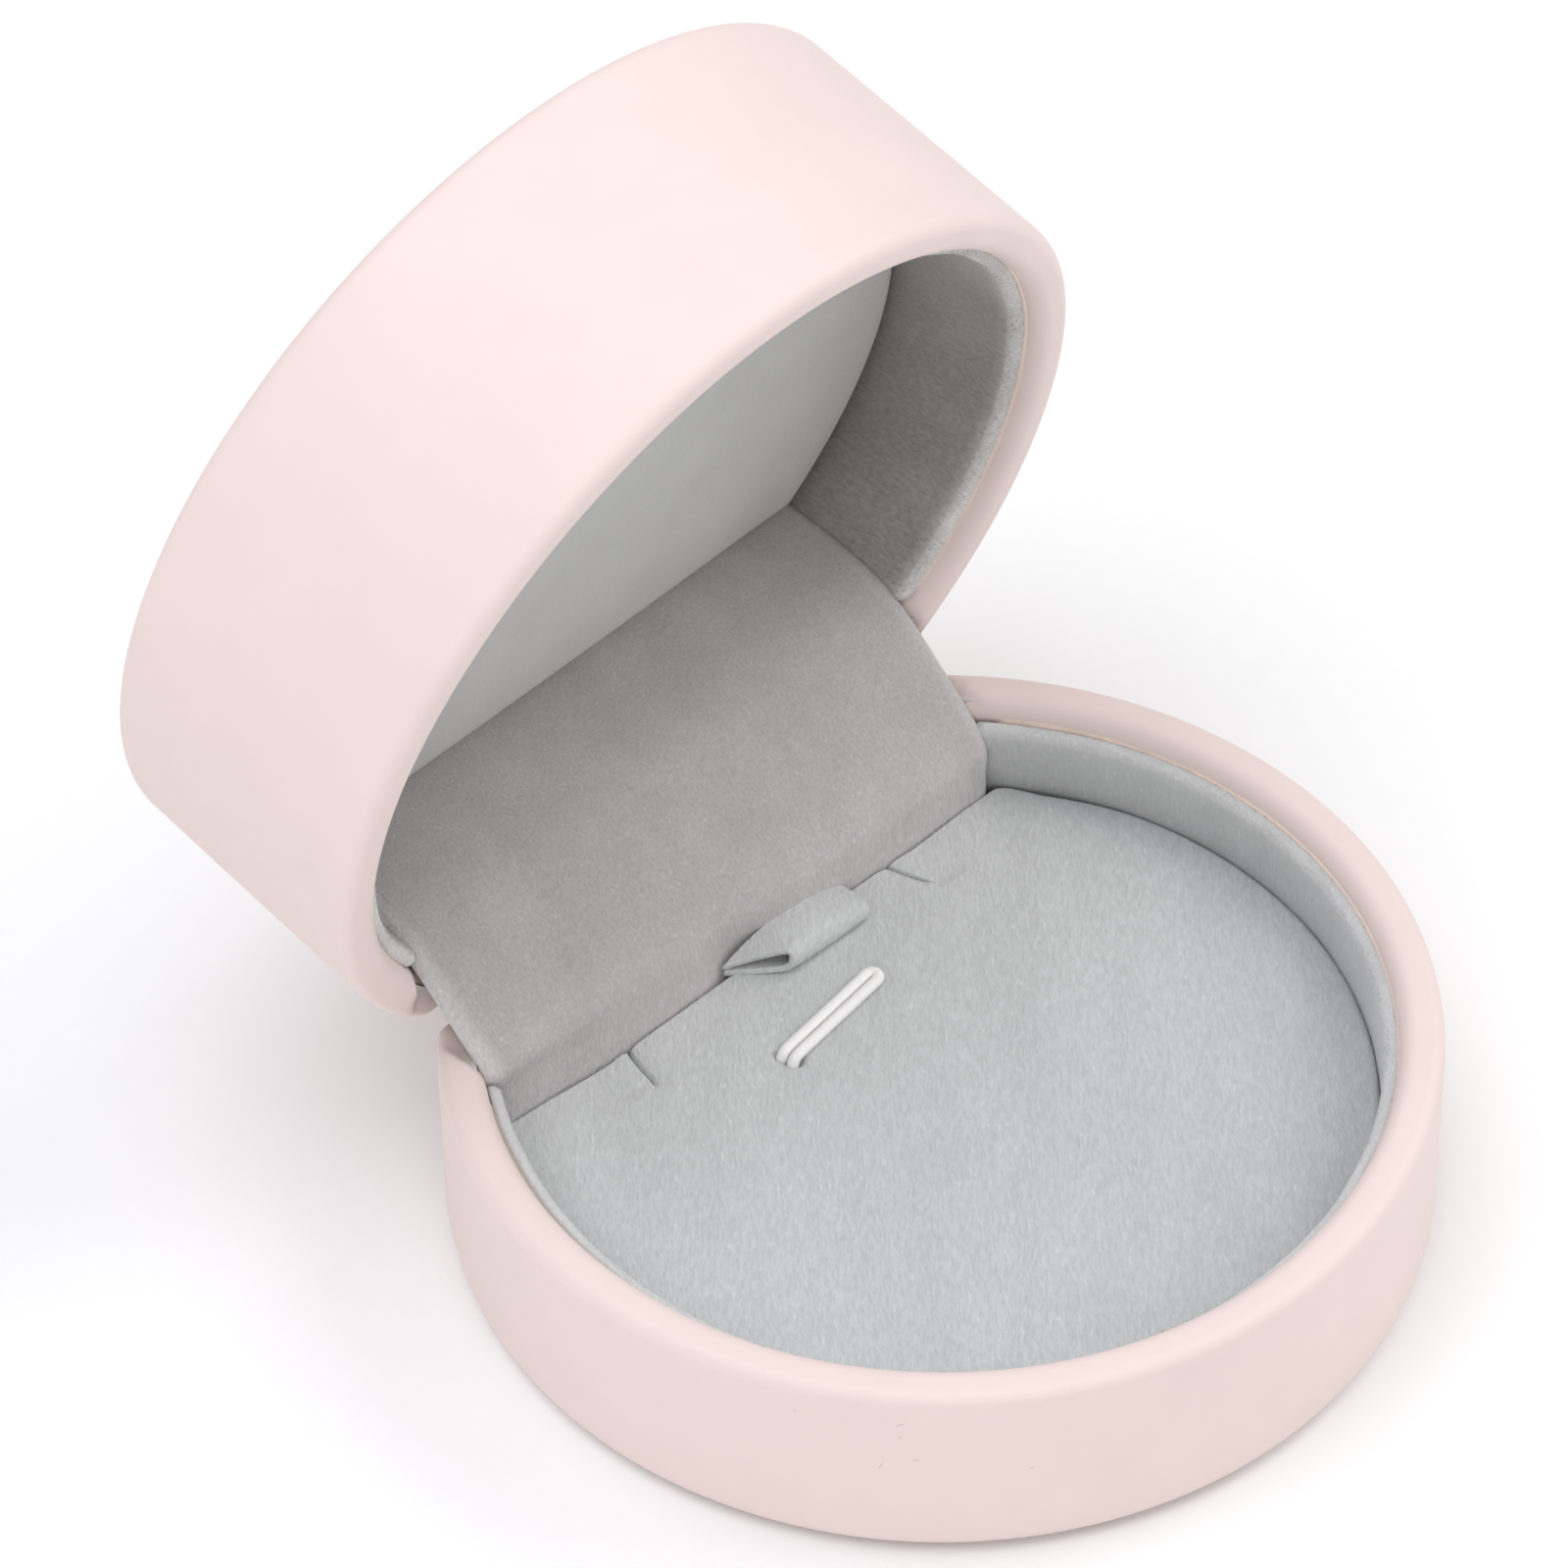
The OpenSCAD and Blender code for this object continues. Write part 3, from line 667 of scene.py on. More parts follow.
def makeRing(body, ring):
    outer, skin, inner, deep = ringShape["outer"], ringShape["velvet"], ring["inner"], -ring["depth"]
    outerBend, innerBend = ringShape["outerBend"], ringShape["innerBend"]
    top, cap = -ring["drop"], -ring["drop"] - 0.9 * mm
    section = [(outer, cap)]
    section += arc((outer - outerBend, top - outerBend), outerBend, 0, 80, 4)
    section += arc((inner + innerBend, top - innerBend), innerBend, 95, 180, 7)
    section += [(inner, top - 2.2 * mm), (inner, deep), (inner + skin, deep), (inner + skin, cap)]
    bm = sweepSection(section, ringShape["start"])
    for vert in bm.verts:  # its top wavers
        x, y, z = vert.co
        flat = Vector((x, y, 0))
        out, near = flat.normalized(), eased(z, -8 * mm, -2 * mm)
        vert.co -= out * ringGap(body, math.degrees(math.atan2(y, x)) % 360) * near
        vert.co += out * noise.noise(flat * 180) * 0.07 * mm
        vert.co.z += noise.noise(flat * 140 + Vector((5, 0, 0))) * ringShape["waver"] * near
    endLeft, endRight = ring["ends"]
    lean = (endLeft - endRight) / (63 * mm)  # over the distance between the two ends
    bmesh.ops.bisect_plane(bm, geom=bm.verts[:] + bm.edges[:] + bm.faces[:],
                           plane_co=(0, (endLeft + endRight) / 2, 0),
                           plane_no=Vector((lean, 1, 0)).normalized(), clear_outer=True)
    bmesh.ops.holes_fill(bm, edges=[edge for edge in bm.edges if edge.is_boundary])
    piece = finishPiece(bm, body + "VelvetRing", ring["material"], body, ring["place"], [ring["node"]])
    flatten = ring["place"].inverted()
    # painted light on the ring's top band
    markPaintedShading(piece, lambda co: 1 - eased(top - (flatten @ co).z, *ringShape["fold"]))
    return piece


def makeRingBacking(body, ring):  # the ring's paper backing shows as a thin pale edge against the leather
    high, low = -ring["drop"] + 0.12 * mm, -ring["drop"] - 3 * mm
    inner, outer = ringShape["outer"] - 0.02 * mm, ringShape["outer"] + 0.13 * mm
    bm = sweepSection([(inner, low), (outer, low), (outer, high), (inner, high)], ringShape["start"] - 3)
    for vert in bm.verts:
        vert.co.z += noise.noise(Vector((vert.co.x, vert.co.y, 0)) * 220) * ringShape["waver"]
    bmesh.ops.holes_fill(bm, edges=[edge for edge in bm.edges if edge.is_boundary])
    return finishPiece(bm, body + "RingBacking", "rawLeatherEdge", body, ring["place"], [])


for body, ring in rings.items():
    makeRing(body, ring)
    makeRingBacking(body, ring)
print("velvet rings made")

# ---- how the flap's wall bows ----
bowed = {
    "back": -0.1 * mm,
    "skew": 0.035,  # the wall stands a little askew, its right end forward
    "left": 1.0 * mm,  # and its left end curves back
    "leftFrom": -17 * mm,
    "reach": 14 * mm,
    "dent": 1.15 * mm,  # pressed in beside the pull tab
    "dentAt": Vector((-1.2, 0, 12.6)) * mm,
    "dentSize": 3.9 * mm,
}


def bow(x, z):  # how far back the wall behind the pad stands
    left = max(0, bowed["leftFrom"] - x) / bowed["reach"]
    gap = (Vector((x, 0, z)) - bowed["dentAt"]) / bowed["dentSize"]
    dent = bowed["dent"] * math.exp(-gap.x ** 2 - (gap.z / 0.7) ** 2)
    return bowed["back"] + bowed["left"] * left ** 1.15 - bowed["skew"] * x + dent


# ---- lift-out pad ----
padLow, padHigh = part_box("pad_velvet")
pad = {
    "top": padHigh.z,
    "low": padLow.z,
    "radius": padHigh.x + 0.45 * mm,  # the pile fills the gap beside the ring
    "back": padHigh.y,
    "corner": 1.2 * mm,
    "round": 0.75 * mm,
    "velvet": 0.6 * mm,
    "plush": 1.35 * mm,  # velvet and the foam bonded to it, down to the loose foam
    "sharp": 0.3,  # the edge along the flap is this much tighter than the rest
    "sharpReach": 4 * mm,
    "hem": 6.5 * mm,  # velvet turned under the board
    "centre": Vector((0, -7.8, 0)) * mm,
    "spacing": [0.985, 0.965, 0.94, 0.91, 0.88, 0.845, 0.81, 0.77, 0.73, 0.685, 0.64, 0.59, 0.54, 0.485, 0.43,
                0.37, 0.31, 0.25, 0.19, 0.13, 0.07, 0.02],
    "slits": [[(-15.6, 25.2), (-15.7, 23.2), (-16.1, 21.7), (-16.6, 20.3), (-17.0, 19.0), (-17.9, 18.0),
               (-20.4, 17.6)],
              [(17.1, 25.0), (17.6, 22.0), (18.3, 20.1), (18.8, 18.6), (18.8, 17.6), (19.4, 16.8),
               (21.2, 16.6)]],
    "ringShade": (35.6 * mm, 40.2 * mm),  # painted shade: the pad darkens towards the ring wall
    "cutLength": [0.62, 0.55],  # share of each line that is cut; the rest is a soft crease
}
relief = {  # how far the cloth sinks
    "slit": 0.85 * mm,
    "slitSide": (0.03 * mm, 0.26 * mm),
    "crease": 0.14 * mm,  # along each whole line
    "cutCrease": 0.2 * mm,  # and more beside its cut
    "creaseWidth": 0.9 * mm,
    "beyond": 0.3 * mm,  # outside each slit, from these side, x and y in millimetres
    "beyondFrom": ((-1, 16.8, 18.0), (1, 18.4, 17.2)),
    "elastic": 0.16 * mm,
    "hole": 0.8 * mm,
    "unevenness": 0.12 * mm,
}


def alongLine(point, line):  # distance to a line of points, and the share of its length where it is nearest
    best, where, walked = 1e9, 0, 0
    total = sum((b - a).length for a, b in zip(line, line[1:]))
    for a, b in zip(line, line[1:]):
        run = b - a
        share = min(1, max(0, (point - a).dot(run) / run.length_squared))
        gap = (point - a - run * share).length
        if gap < best:
            best, where = gap, (walked + run.length * share) / total
        walked += run.length
    return best, where


slitLines = [[spot * mm for spot in rounded(line, 5)] for line in pad["slits"]]
elastic = {
    "strand": 0.56 * mm,
    "gap": 0.62 * mm,
    "start": Vector((-6.0, 12.55)) * mm,
    "end": Vector((6.1, 13.7)) * mm,
    "dive": 0.9 * mm,  # bend where each end goes down through the pad
    "knot": 1.6 * mm,
}


def padRelief(x, y):  # how far the pad's face rises or sinks
    point = Vector((x, y))
    lift = relief["unevenness"] * noise.noise(Vector((x, y, 0.01)) * 70)
    for line, cut in zip(slitLines, pad["cutLength"]):
        gap, where = alongLine(point, line)
        strength = 1 - eased(where, cut - 0.12, cut + 0.1)
        lift -= relief["slit"] * strength * (1 - eased(gap, *relief["slitSide"]))
        crease = (relief["crease"] + relief["cutCrease"] * strength) * (1 - eased(where, 0.75, 1.0))
        lift -= crease * math.exp(-(gap / relief["creaseWidth"]) ** 2)
    for side, edge, low in relief["beyondFrom"]:
        out = side * x / mm
        outside = eased(out, edge, edge + 1.0) * (1 - eased(out, edge + 3, edge + 9))
        lift -= relief["beyond"] * outside * eased(y / mm, low, low + 1.5)
    gap, where = alongLine(point, [elastic["start"], elastic["end"]])
    lift -= relief["elastic"] * (1 - eased(gap, 1.0 * mm, 2.2 * mm))
    run = (elastic["end"] - elastic["start"]).normalized()
    across = Vector((-run.y, run.x))
    for side in (-1, 1):
        hole = elastic["start"] + across * side * elastic["gap"] - run * elastic["dive"] * 0.6
        lift -= relief["hole"] * (1 - eased((point - hole).length, 0.35 * mm, 1.15 * mm))
    return lift


def refine(bm, near, reach, level):  # cut the face finer around a feature
    edges = [edge for edge in bm.edges
             if all(vert.co.z > level and near(vert.co) < reach for vert in edge.verts)]
    bmesh.ops.subdivide_edges(bm, edges=edges, cuts=1, use_grid_fill=True)


def padOutline(inset, z):
    return shapeD(pad["radius"] - inset, pad["back"] - inset, max(pad["corner"] - inset, 0.35 * mm), z)


def makePad():
    bm = bmesh.new()
    bend, skin = pad["round"], pad["velvet"]
    outside = [(pad["hem"], pad["low"] + skin), (pad["hem"], pad["low"]), (0.4 * mm, pad["low"]),
               (0, pad["low"] + 0.4 * mm), (0, pad["top"] - bend - 0.3 * mm)]
    outside += arc((bend, pad["top"] - bend), bend, 180, 90, 8)
    edgeRing = padOutline(bend, pad["top"])
    face = drawnIn(edgeRing, pad["centre"] + Vector((0, 0, pad["top"])), pad["spacing"])
    roof = pad["top"] - pad["plush"]
    innerFace = drawnIn(padOutline(bend, roof), pad["centre"] + Vector((0, 0, roof)), (0.02, 0.3, 0.6, 0.9))
    inside = [padOutline(i, z) for i, z in
              [(bend, roof), (skin, roof - 0.3 * mm), (skin, pad["low"] + skin),
               (pad["hem"] - 0.5 * mm, pad["low"] + skin)]]
    loft(bm, innerFace + inside + [padOutline(i, z) for i, z in outside] + face, False)
    level = pad["top"] - 0.58 * mm  # only the face above this is cut finer

    def nearSlit(co):
        return min(alongLine(co.xy, line)[0] for line in slitLines)

    def nearElastic(co):
        return alongLine(co.xy, [elastic["start"], elastic["end"]])[0]

    for reach in (3.2 * mm, 2.2 * mm, 1.3 * mm, 0.7 * mm):
        refine(bm, nearSlit, reach, level)
    for reach in (3.5 * mm, 2.6 * mm):
        refine(bm, nearElastic, reach, level)
    for vert in bm.verts:
        x, y, z = vert.co
        vert.co.z += padRelief(x, y) * eased(z, roof + 0.1 * mm, pad["top"] - 0.5 * mm)
        depth = pad["back"] - y
        tight = pad["sharp"] + (1 - pad["sharp"]) * eased(depth, 0, pad["sharpReach"])
        vert.co.y = pad["back"] - depth * (tight if depth < pad["sharpReach"] else 1)
        vert.co.y += bow(x, 0) * eased(y, 8 * mm, 22 * mm)
    piece = finishPiece(bm, "padCover", "padVelvet", "insert", None, ["pad_velvet"])

    def ringShade(co):  # painted shade by the ring wall: least at the front, none along the flap
        sides = (0.25 + 0.75 * eased(co.y, -32 * mm, -18 * mm)) * (1 - eased(co.y, 14 * mm, 22 * mm))
        return sides * eased(co.xy.length, *pad["ringShade"])

    markPaintedShading(piece, ringShade)
    return piece


def makePadFoam():
    bm = bmesh.new()
    low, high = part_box("pad_foam")[0].z, pad["top"] - pad["plush"] - 0.05 * mm
    profile = [(3 * mm, low), (0.9 * mm, low), (0.7 * mm, low + 0.15 * mm), (0.7 * mm, high - 0.4 * mm),
               (1.6 * mm, high), (4 * mm, high)]
    loft(bm, [padOutline(inset, z) for inset, z in profile], False)
    for vert in bm.verts:
        vert.co.y += bow(vert.co.x, 0) * eased(vert.co.y, 8 * mm, 22 * mm)
    return finishPiece(bm, "padFoam", "whiteFoam", "insert", None, ["pad_foam"])


makePad()
makePadFoam()
print("pad made")

# ---- elastic ----
def makeElastic():  # one strand runs out, turns round at the end and comes back
    run = (elastic["end"] - elastic["start"]).normalized()
    across = Vector((-run.y, run.x))
    rise = pad["top"] + elastic["strand"] - 0.14 * mm

    def at(along, side, z):
        spot = elastic["start"] + run * along + across * side
        return Vector((spot.x, spot.y, z))

    length = (elastic["end"] - elastic["start"]).length
    gap, dive = elastic["gap"], elastic["dive"]
    path = [at(-dive, gap, pad["low"] + 0.4 * mm), at(-dive, gap, rise - dive - 1 * mm)]
    path += [at(-dive * math.cos(t), gap, rise - dive + dive * math.sin(t))
             for t in (math.radians(15 * i) for i in range(7))]
    path += [at(length * i / 8, gap * (1 - 0.02 * math.sin(math.pi * i / 8)), rise) for i in range(1, 8)]
    path += [at(length + (gap + 0.1 * mm) * math.sin(t) - gap, gap * math.cos(t), rise)
             for t in (math.radians(15 * i) for i in range(7))]
    mirrored = [Vector(spot) - 2 * (Vector(spot).xy - elastic["start"]).dot(across) * Vector((*across, 0))
                for spot in reversed(path[:-1])]
    path += mirrored
    data = bpy.data.curves.new("elasticLoop", "CURVE")
    data.dimensions = "3D"
    line = data.splines.new("NURBS")
    line.points.add(len(path) - 1)
    for spot, co in zip(line.points, path):
        spot.co = (*co, 1)
    line.order_u = 3
    line.use_endpoint_u = True
    line.resolution_u = 3
    data.bevel_depth = elastic["strand"]
    data.bevel_resolution = 6
    data.use_fill_caps = True
    curve = bpy.data.objects.new("elasticCurve", data)
    bpy.context.scene.collection.objects.link(curve)
    bpy.context.view_layer.update()
    mesh = bpy.data.meshes.new_from_object(curve.evaluated_get(bpy.context.evaluated_depsgraph_get()))
    bpy.data.objects.remove(curve)
    bm = bmesh.new()
    bm.from_mesh(mesh)
    bmesh.ops.remove_doubles(bm, verts=bm.verts, dist=0.001 * mm)
    for vert in bm.verts:  # the strands are pressed a little flat
        vert.co.z = rise + (vert.co.z - rise) * (0.9 if vert.co.z > rise else 1)
    knot = bmesh.ops.create_uvsphere(bm, u_segments=20, v_segments=12, radius=elastic["knot"])
    centre = at(-dive, 0, pad["low"] - 0.7 * mm)
    bmesh.ops.scale(bm, vec=(1, 1, 0.55), verts=knot["verts"])
    bmesh.ops.translate(bm, vec=centre, verts=knot["verts"])
    return finishPiece(bm, "elasticHairpin", "whiteElastic", "insert", None, ["elastic_loop"])


makeElastic()
print("elastic made")

# ---- pull tab ----
tab = {
    "left": [(-3.2, 24.0, 11.5), (-1.2, 21.9, 11.7), (0.5, 20.3, 11.95), (1.0, 19.55, 12.75),
             (1.1, 20.1, 13.75), (-0.8, 22.0, 13.05), (-3.3, 24.1, 12.1)],
    "middle": [(4.6, 24.0, 11.5), (4.9, 22.0, 11.5), (5.2, 20.2, 11.5), (5.3, 19.35, 12.5), (5.3, 19.9, 13.7),
               (4.9, 21.9, 14.0), (4.6, 23.9, 13.8)],
    "right": [(11.6, 24.0, 11.5), (11.4, 22.0, 11.5), (11.1, 20.2, 11.5), (11.1, 19.3, 12.1),
              (11.2, 19.8, 12.9), (11.4, 21.9, 12.7), (11.7, 23.7, 12.1)],
    "thick": 0.65 * mm,
    "edge": 0.2 * mm,
    "across": 34,
    "steps": 7,
}


def makeTab():  # a folded strap: three lines round the fold, joined by a curve across it
    lines = [rounded([Vector(spot) * mm for spot in tab[key]], tab["steps"])
             for key in ("left", "middle", "right")]
    rows = len(lines[0])
    bm = bmesh.new()
    bmesh.ops.create_grid(bm, x_segments=tab["across"], y_segments=rows - 1, size=0.5)
    for vert in bm.verts:
        share = min(1, max(0, vert.co.x + 0.5))
        left, middle, right = (line[gridRow(vert, rows)] for line in lines)
        arched = middle - (left + right) * 0.5
        vert.co = left.lerp(right, share) + arched * 4 * share * (1 - share)
    piece = finishPiece(bm, "pullTab", "padVelvet", None, None, ["pull_tab"])
    addModifier(piece, "SOLIDIFY", {"thickness": tab["thick"], "offset": 0})
    addModifier(piece, "BEVEL", {"width": tab["edge"], "segments": 2, "limit_method": "ANGLE"})
    applyModifiers(piece)
    for face in piece.data.polygons:
        face.use_smooth = True
    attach(piece, "insert")
    return piece


makeTab()
print("pull tab made")

# ---- lid pad ----
lidPad = {
    "depth": 16 * mm,  # of its face below the lid's rim
    "thick": 4 * mm,
    "radius": 39.1 * mm,
    "back": pad["back"],
    "corner": 1.2 * mm,
    "round": 1.3 * mm,
    "crown": 0.5 * mm,
    "unevenness": 0.1 * mm,
    "spacing": [0.97, 0.93, 0.88, 0.82, 0.75, 0.67, 0.58, 0.48, 0.37, 0.25, 0.13, 0.02],
}


def makeLidPad():
    bm = bmesh.new()
    bend, top = lidPad["round"], -lidPad["depth"]
    low = top - lidPad["thick"]
    outside = [(6 * mm, low), (0.4 * mm, low), (0, low + 0.4 * mm), (0, top - bend - 0.3 * mm)]
    outside += arc((bend, top - bend), bend, 180, 90, 7)

    def outline(inset, z):
        corner = max(lidPad["corner"] - inset, 0.35 * mm)
        return shapeD(lidPad["radius"] - inset, lidPad["back"] - inset, corner, z)

    face = drawnIn(outline(bend, top), pad["centre"] + Vector((0, 0, top)), lidPad["spacing"])
    loft(bm, [outline(i, z) for i, z in outside] + face, False)
    for vert in bm.verts:
        x, y, z = vert.co
        reach = (Vector((x, y, 0)) - pad["centre"]).length
        swell = lidPad["crown"] * (1 - eased(reach, 5 * mm, 36 * mm))
        swell += lidPad["unevenness"] * noise.noise(Vector((x, y, 3)) * 50)
        vert.co.z += swell * eased(z, low + 1 * mm, top)
    piece = finishPiece(bm, "lidPadCover", "lidPadCloth", "lid", toLid, ["lid_pad_velvet"])
    return piece


makeLidPad()
print("lid pad made")

# ---- hinge flap ----
flap = {
    "wallY": 23.9 * mm,
    "low": 3.4 * mm,
    "free": [(24.0, 16.2), (24.55, 18.0), (25.7, 19.6), (27.3, 21.2), (29.2, 23.0), (31.2, 24.95),
             (33.2, 26.7), (35.4, 28.35), (38.2, 29.5), (41.5, 30.3), (44.8, 30.9)],  # y and z, open
    "lidWall": [38, 46],  # heights on the lid's card, shut
    "half": 31.6 * mm,  # half width in the lid
    "wallLeft": 30.7 * mm,  # half widths where the rings hold it
    "wallRight": 31.1 * mm,
    "crossing": 31.6 * mm,  # and where it crosses the rims
    "curl": 1.1 * mm,  # the cut edges roll back
    "curlBack": 0.75,  # how far back, as a share of the curl's width
    "ripple": 0.18 * mm,
    "edgeLight": (29.4 * mm, 31.6 * mm),  # painted light: paler towards the rolled edges, where the light falls, less on the right
    "edgeLightRight": 0.4,
    "thick": 0.55 * mm,
    "across": 96,
    "steps": 7,
}


def flapLine():
    wall = flap["wallY"]
    points = [(wall, flap["low"]), (wall, 8 * mm), (wall, 11.5 * mm), (wall + 0.01 * mm, 14 * mm)]
    points += [(y * mm, z * mm) for y, z in flap["free"]]
    for height in flap["lidWall"]:
        spot = openLid @ Vector((0, wall, height * mm))
        points.append((spot.y, spot.z))
    return rounded([Vector((y, z)) for y, z in points], flap["steps"])


def makeFlap():
    line = flapLine()
    rows = len(line)
    lengths = [0.0]
    for a, b in zip(line, line[1:]):
        lengths.append(lengths[-1] + (b - a).length)
    bm = bmesh.new()
    bmesh.ops.create_grid(bm, x_segments=flap["across"], y_segments=rows - 1, size=0.5)
    for vert in bm.verts:
        share = 2 * vert.co.x
        row = gridRow(vert, rows)
        before, after = line[max(row - 1, 0)], line[min(row + 1, rows - 1)]
        run = (after - before).normalized()
        back = Vector((0, run.y, -run.x))  # away from the well
        spot = Vector((0, line[row].x, line[row].y))
        wallHalf = flap["wallLeft"] if share < 0 else flap["wallRight"]
        half = wallHalf + (flap["crossing"] - wallHalf) * eased(spot.z, 13.5 * mm, 19 * mm)
        half += (flap["half"] - flap["crossing"]) * eased(spot.y, 33.5 * mm, 38 * mm)
        share = math.copysign(1 - (1 - abs(share)) ** 1.25, share)  # closer together near the edges
        x = share * half
        level = half - flap["curl"]  # the sheet curls from here
        turn = max(0, abs(x) - level) / flap["curl"] * math.pi / 2
        x = math.copysign(min(abs(x), level) + flap["curl"] * math.sin(turn), share)
        wallShare = 1 - eased(spot.z, 15.5 * mm, 19.5 * mm)
        spot.y += bow(x, spot.z) * wallShare
        ripple = flap["ripple"] * noise.noise(Vector((x, spot.y, spot.z)) * 45)
        curled = flap["curl"] * flap["curlBack"] * (1 - math.cos(turn))
        vert.co = spot + Vector((x, 0, 0)) + back * (curled + ripple * eased(half - abs(x), 0, 8 * mm))
    piece = finishPiece(bm, "velvetFlap", "flapVelvet", None, None, ["hinge_flap"])
    addModifier(piece, "SOLIDIFY", {"thickness": flap["thick"], "offset": 0})
    applyModifiers(piece)
    for face in piece.data.polygons:
        face.use_smooth = True
    # painted light along the flap's edges, less on the right
    markPaintedShading(piece, lambda co: eased(abs(co.x), *flap["edgeLight"]) * (1 if co.x < 0 else flap["edgeLightRight"]))
    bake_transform(piece)
    return piece


def makeFlapBoard():  # the card that holds the flap's wall upright, bowed with it
    low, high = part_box("flap_card_base")
    bm = roundedBlock(high - low, (low + high) / 2, 0.2 * mm, 2)
    along = [edge for edge in bm.edges if abs(edge.verts[0].co.x - edge.verts[1].co.x) > 30 * mm]
    bmesh.ops.subdivide_edges(bm, edges=along, cuts=60, use_grid_fill=True)
    for vert in bm.verts:
        dent = bowed["dent"] * math.exp(-(vert.co.x / bowed["dentSize"]) ** 2)
        vert.co.y += bow(vert.co.x, 0) + dent
    return finishPiece(bm, "flapBoard", "linerBoard", "base", None, ["flap_card_base"])


makeFlap()
makeFlapBoard()
print("flap made")

# ---- loose pile and stray hairs ----
pile = {"length": 0.34 * mm, "width": 0.03 * mm, "seed": 7, "base": 2200, "lid": 1800, "pad": 500}


def gather(blades):  # a hundred blades at a time, which is quicker than one growing mesh
    whole = bmesh.new()
    for start in range(0, len(blades), 100):
        part = bmesh.new()
        for foot, tip in blades[start:start + 100]:
            addBlade(part, foot, tip, pile["width"])
        mesh = bpy.data.meshes.new("part")
        part.to_mesh(mesh)
        part.free()
        whole.from_mesh(mesh)
        bpy.data.meshes.remove(mesh)
    return whole


def addBlade(bm, foot, tip, width):  # one hair, a thin three-sided spike
    made = bmesh.ops.create_cone(bm, segments=3, radius1=width, radius2=width * 0.25, depth=1, cap_ends=True)
    run = tip - foot
    turn = run.to_track_quat("Z", "Y").to_matrix().to_4x4()
    place = Matrix.Translation((foot + tip) / 2) @ turn @ Matrix.Diagonal((1, 1, run.length, 1))
    bmesh.ops.transform(bm, matrix=place, verts=made["verts"])


def makeRingPile(body, ring, count):  # the pile stands up along the ring's top fold
    rng = random.Random(pile["seed"])
    blades = []
    for i in range(count):
        turn = math.radians(36) - math.radians(252) * (i + rng.random()) / count
        across = rng.random()
        radius = ring["inner"] + (0.05 + 1.15 * across) * mm
        out = Vector((math.cos(turn), math.sin(turn), 0))
        gap = ringGap(body, math.degrees(turn) % 360)
        foot = out * (radius - gap) + Vector((0, 0, -ring["drop"] - (0.08 + 0.5 * (1 - across) ** 2) * mm))
        lean = Vector((rng.uniform(-1, 1), rng.uniform(-1, 1), 1.2)) - out * (1 - across) * 1.4
        blades.append((foot, foot + lean.normalized() * pile["length"] * rng.uniform(0.5, 1)))
    piece = finishPiece(gather(blades), body + "RingPile", ring["material"], body, ring["place"], [])
    # the loose pile takes the painted light colour of the ring's top band
    markPaintedShading(piece, lambda co: 1)
    return piece


def makePadPile(count):  # and along the pad's back edge, where it meets the flap
    rng = random.Random(pile["seed"] + 1)
    blades = []
    for i in range(count):
        x = (rng.random() * 2 - 1) * 31 * mm
        foot = Vector((x, pad["back"] + bow(x, 0) - rng.uniform(0.05, 0.3) * mm,
                       pad["top"] - rng.uniform(0.05, 0.3) * mm))
        lean = Vector((rng.uniform(-1, 1), 0.5, rng.uniform(0.3, 1.2)))
        blades.append((foot, foot + lean.normalized() * pile["length"] * rng.uniform(0.4, 0.9)))
    return finishPiece(gather(blades), "padEdgePile", "padVelvet", "insert", None, [])


hairs = {
    "width": 0.018 * mm,
    "places": [(-142.0, 16.9, 0.7, 20), (-141.7, 15.2, 0.5, 80), (-140.2, 12.6, 0.6, -30),
               (-144.0, 11.2, 0.8, 60), (-127.5, 10.8, 0.6, 10), (-153.5, 17.2, 0.5, -70)],
}  # angle round the base's wall, height, length, tilt


def makeHairs():
    bm = bmesh.new()
    for angle, height, length, tilt in hairs["places"]:
        turn, tilt = math.radians(angle), math.radians(tilt)
        foot = Vector((math.cos(turn), math.sin(turn), 0)) * (drum["radius"] + 0.01 * mm)
        foot.z = height * mm
        along = Vector((-math.sin(turn), math.cos(turn), 0)) * math.cos(tilt) + Vector((0, 0, math.sin(tilt)))
        bent = foot + (along + Vector((0, 0, 0.3))).normalized() * length * 0.5 * mm
        addBlade(bm, foot, bent, hairs["width"])
        addBlade(bm, bent, bent + along * length * 0.5 * mm, hairs["width"])
    return finishPiece(bm, "strayHairs", "strayHair", "base", None, [])


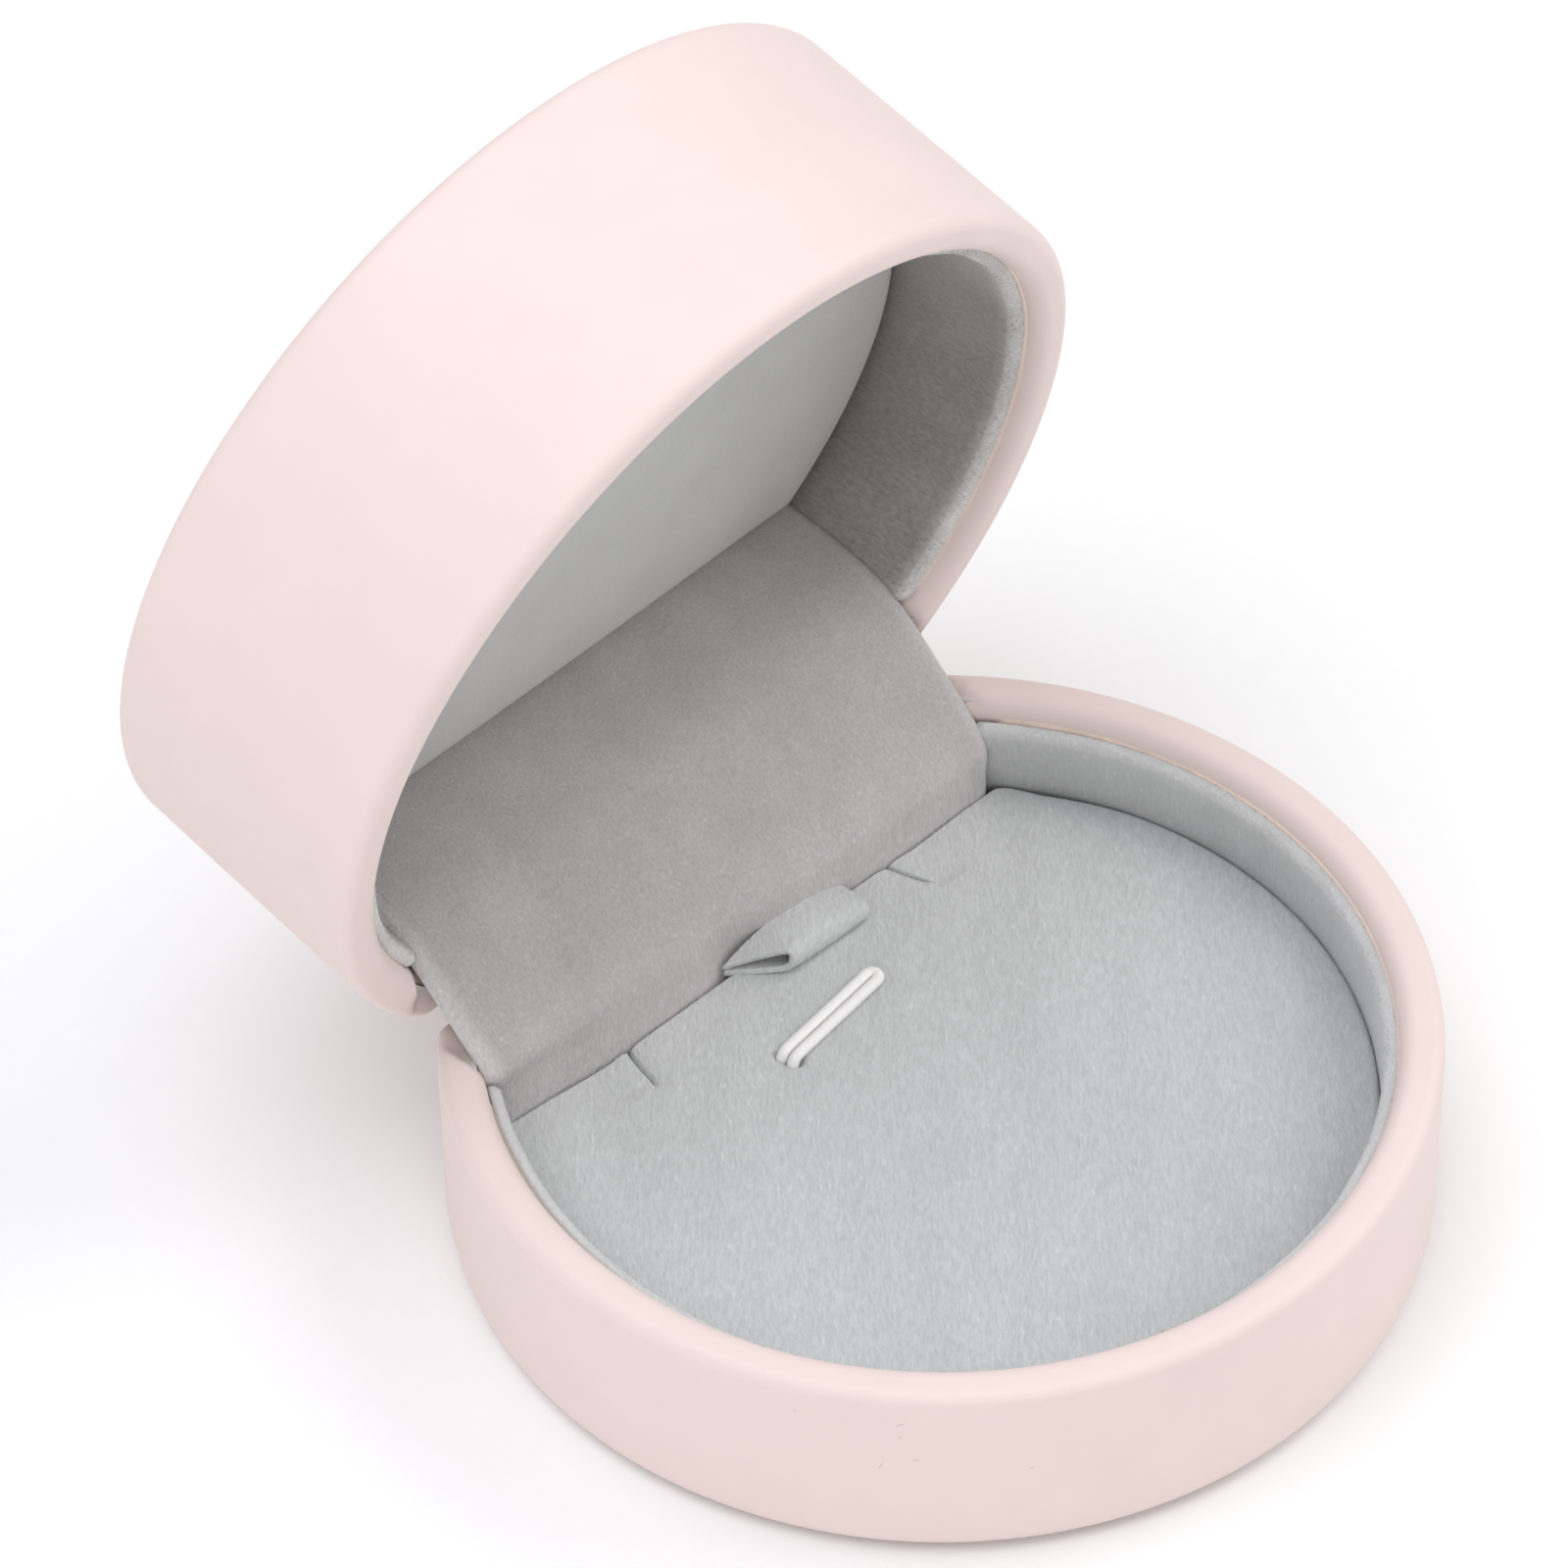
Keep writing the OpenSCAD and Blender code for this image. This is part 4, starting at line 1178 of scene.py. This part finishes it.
for body, ring in rings.items():
    makeRingPile(body, ring, pile[body])
makePadPile(pile["pad"])
makeHairs()
print("pile and hairs made")

# ---- bow spring ----
spring = {"half": 3 * mm, "radius": 1.78 * mm, "baseLeg": 10.6 * mm, "lidLeg": 11 * mm, "thick": 0.25 * mm,
          "legSteps": 6, "bendSteps": 12}


def makeSpring():
    legSteps, bendSteps = spring["legSteps"], spring["bendSteps"]
    points = [Vector((-spring["radius"], -spring["baseLeg"] * (1 - i / legSteps))) for i in range(legSteps)]
    bend = arc((0, 0), spring["radius"], 180, 180 - math.degrees(openAngle), bendSteps)
    points += [Vector(spot) for spot in bend]
    run = Vector((math.sin(openAngle), math.cos(openAngle)))
    points += [points[-1] + run * spring["lidLeg"] * (i + 1) / legSteps for i in range(legSteps)]
    bm = bmesh.new()
    bmesh.ops.create_grid(bm, x_segments=4, y_segments=len(points) - 1, size=0.5)
    for vert in bm.verts:
        spot = points[gridRow(vert, len(points))]
        vert.co = pivot + Vector((vert.co.x * 2 * spring["half"], spot.x, spot.y))
    piece = finishPiece(bm, "bowSpring", "satinSteel", None, None, ["hinge_spring"])
    addModifier(piece, "SOLIDIFY", {"thickness": spring["thick"], "offset": 0})
    applyModifiers(piece)
    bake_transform(piece)
    return piece


makeSpring()
print("spring made")

# ---- carried-over pieces ----
nodeFinishes = {
    "mouldedCore": ["base_shell", "lid_shell"],
    "linerBoard": ["base_liner_card", "lid_liner_card", "pad_riser", "pad_board", "lid_pad_board",
                   "flap_card_lid"],
    "whiteFoam": ["lid_pad_foam", "lid_spacer"],
    "satinSteel": ["hinge_leaf_base", "hinge_leaf_lid", "base_hinge_rivets", "lid_hinge_rivets", "hinge_pin"],
}
for finish, names in nodeFinishes.items():
    for name in names:
        node = frame["nodes"][name]
        node.data.materials.clear()
        node.data.materials.append(finishes[finish])
print("carried-over pieces finished")

# ---- floor ----
floorMesh = bmesh.new()
bmesh.ops.create_grid(floorMesh, x_segments=8, y_segments=8, size=room["floor"])
floor = finishPiece(floorMesh, "floor", "paleFloor")
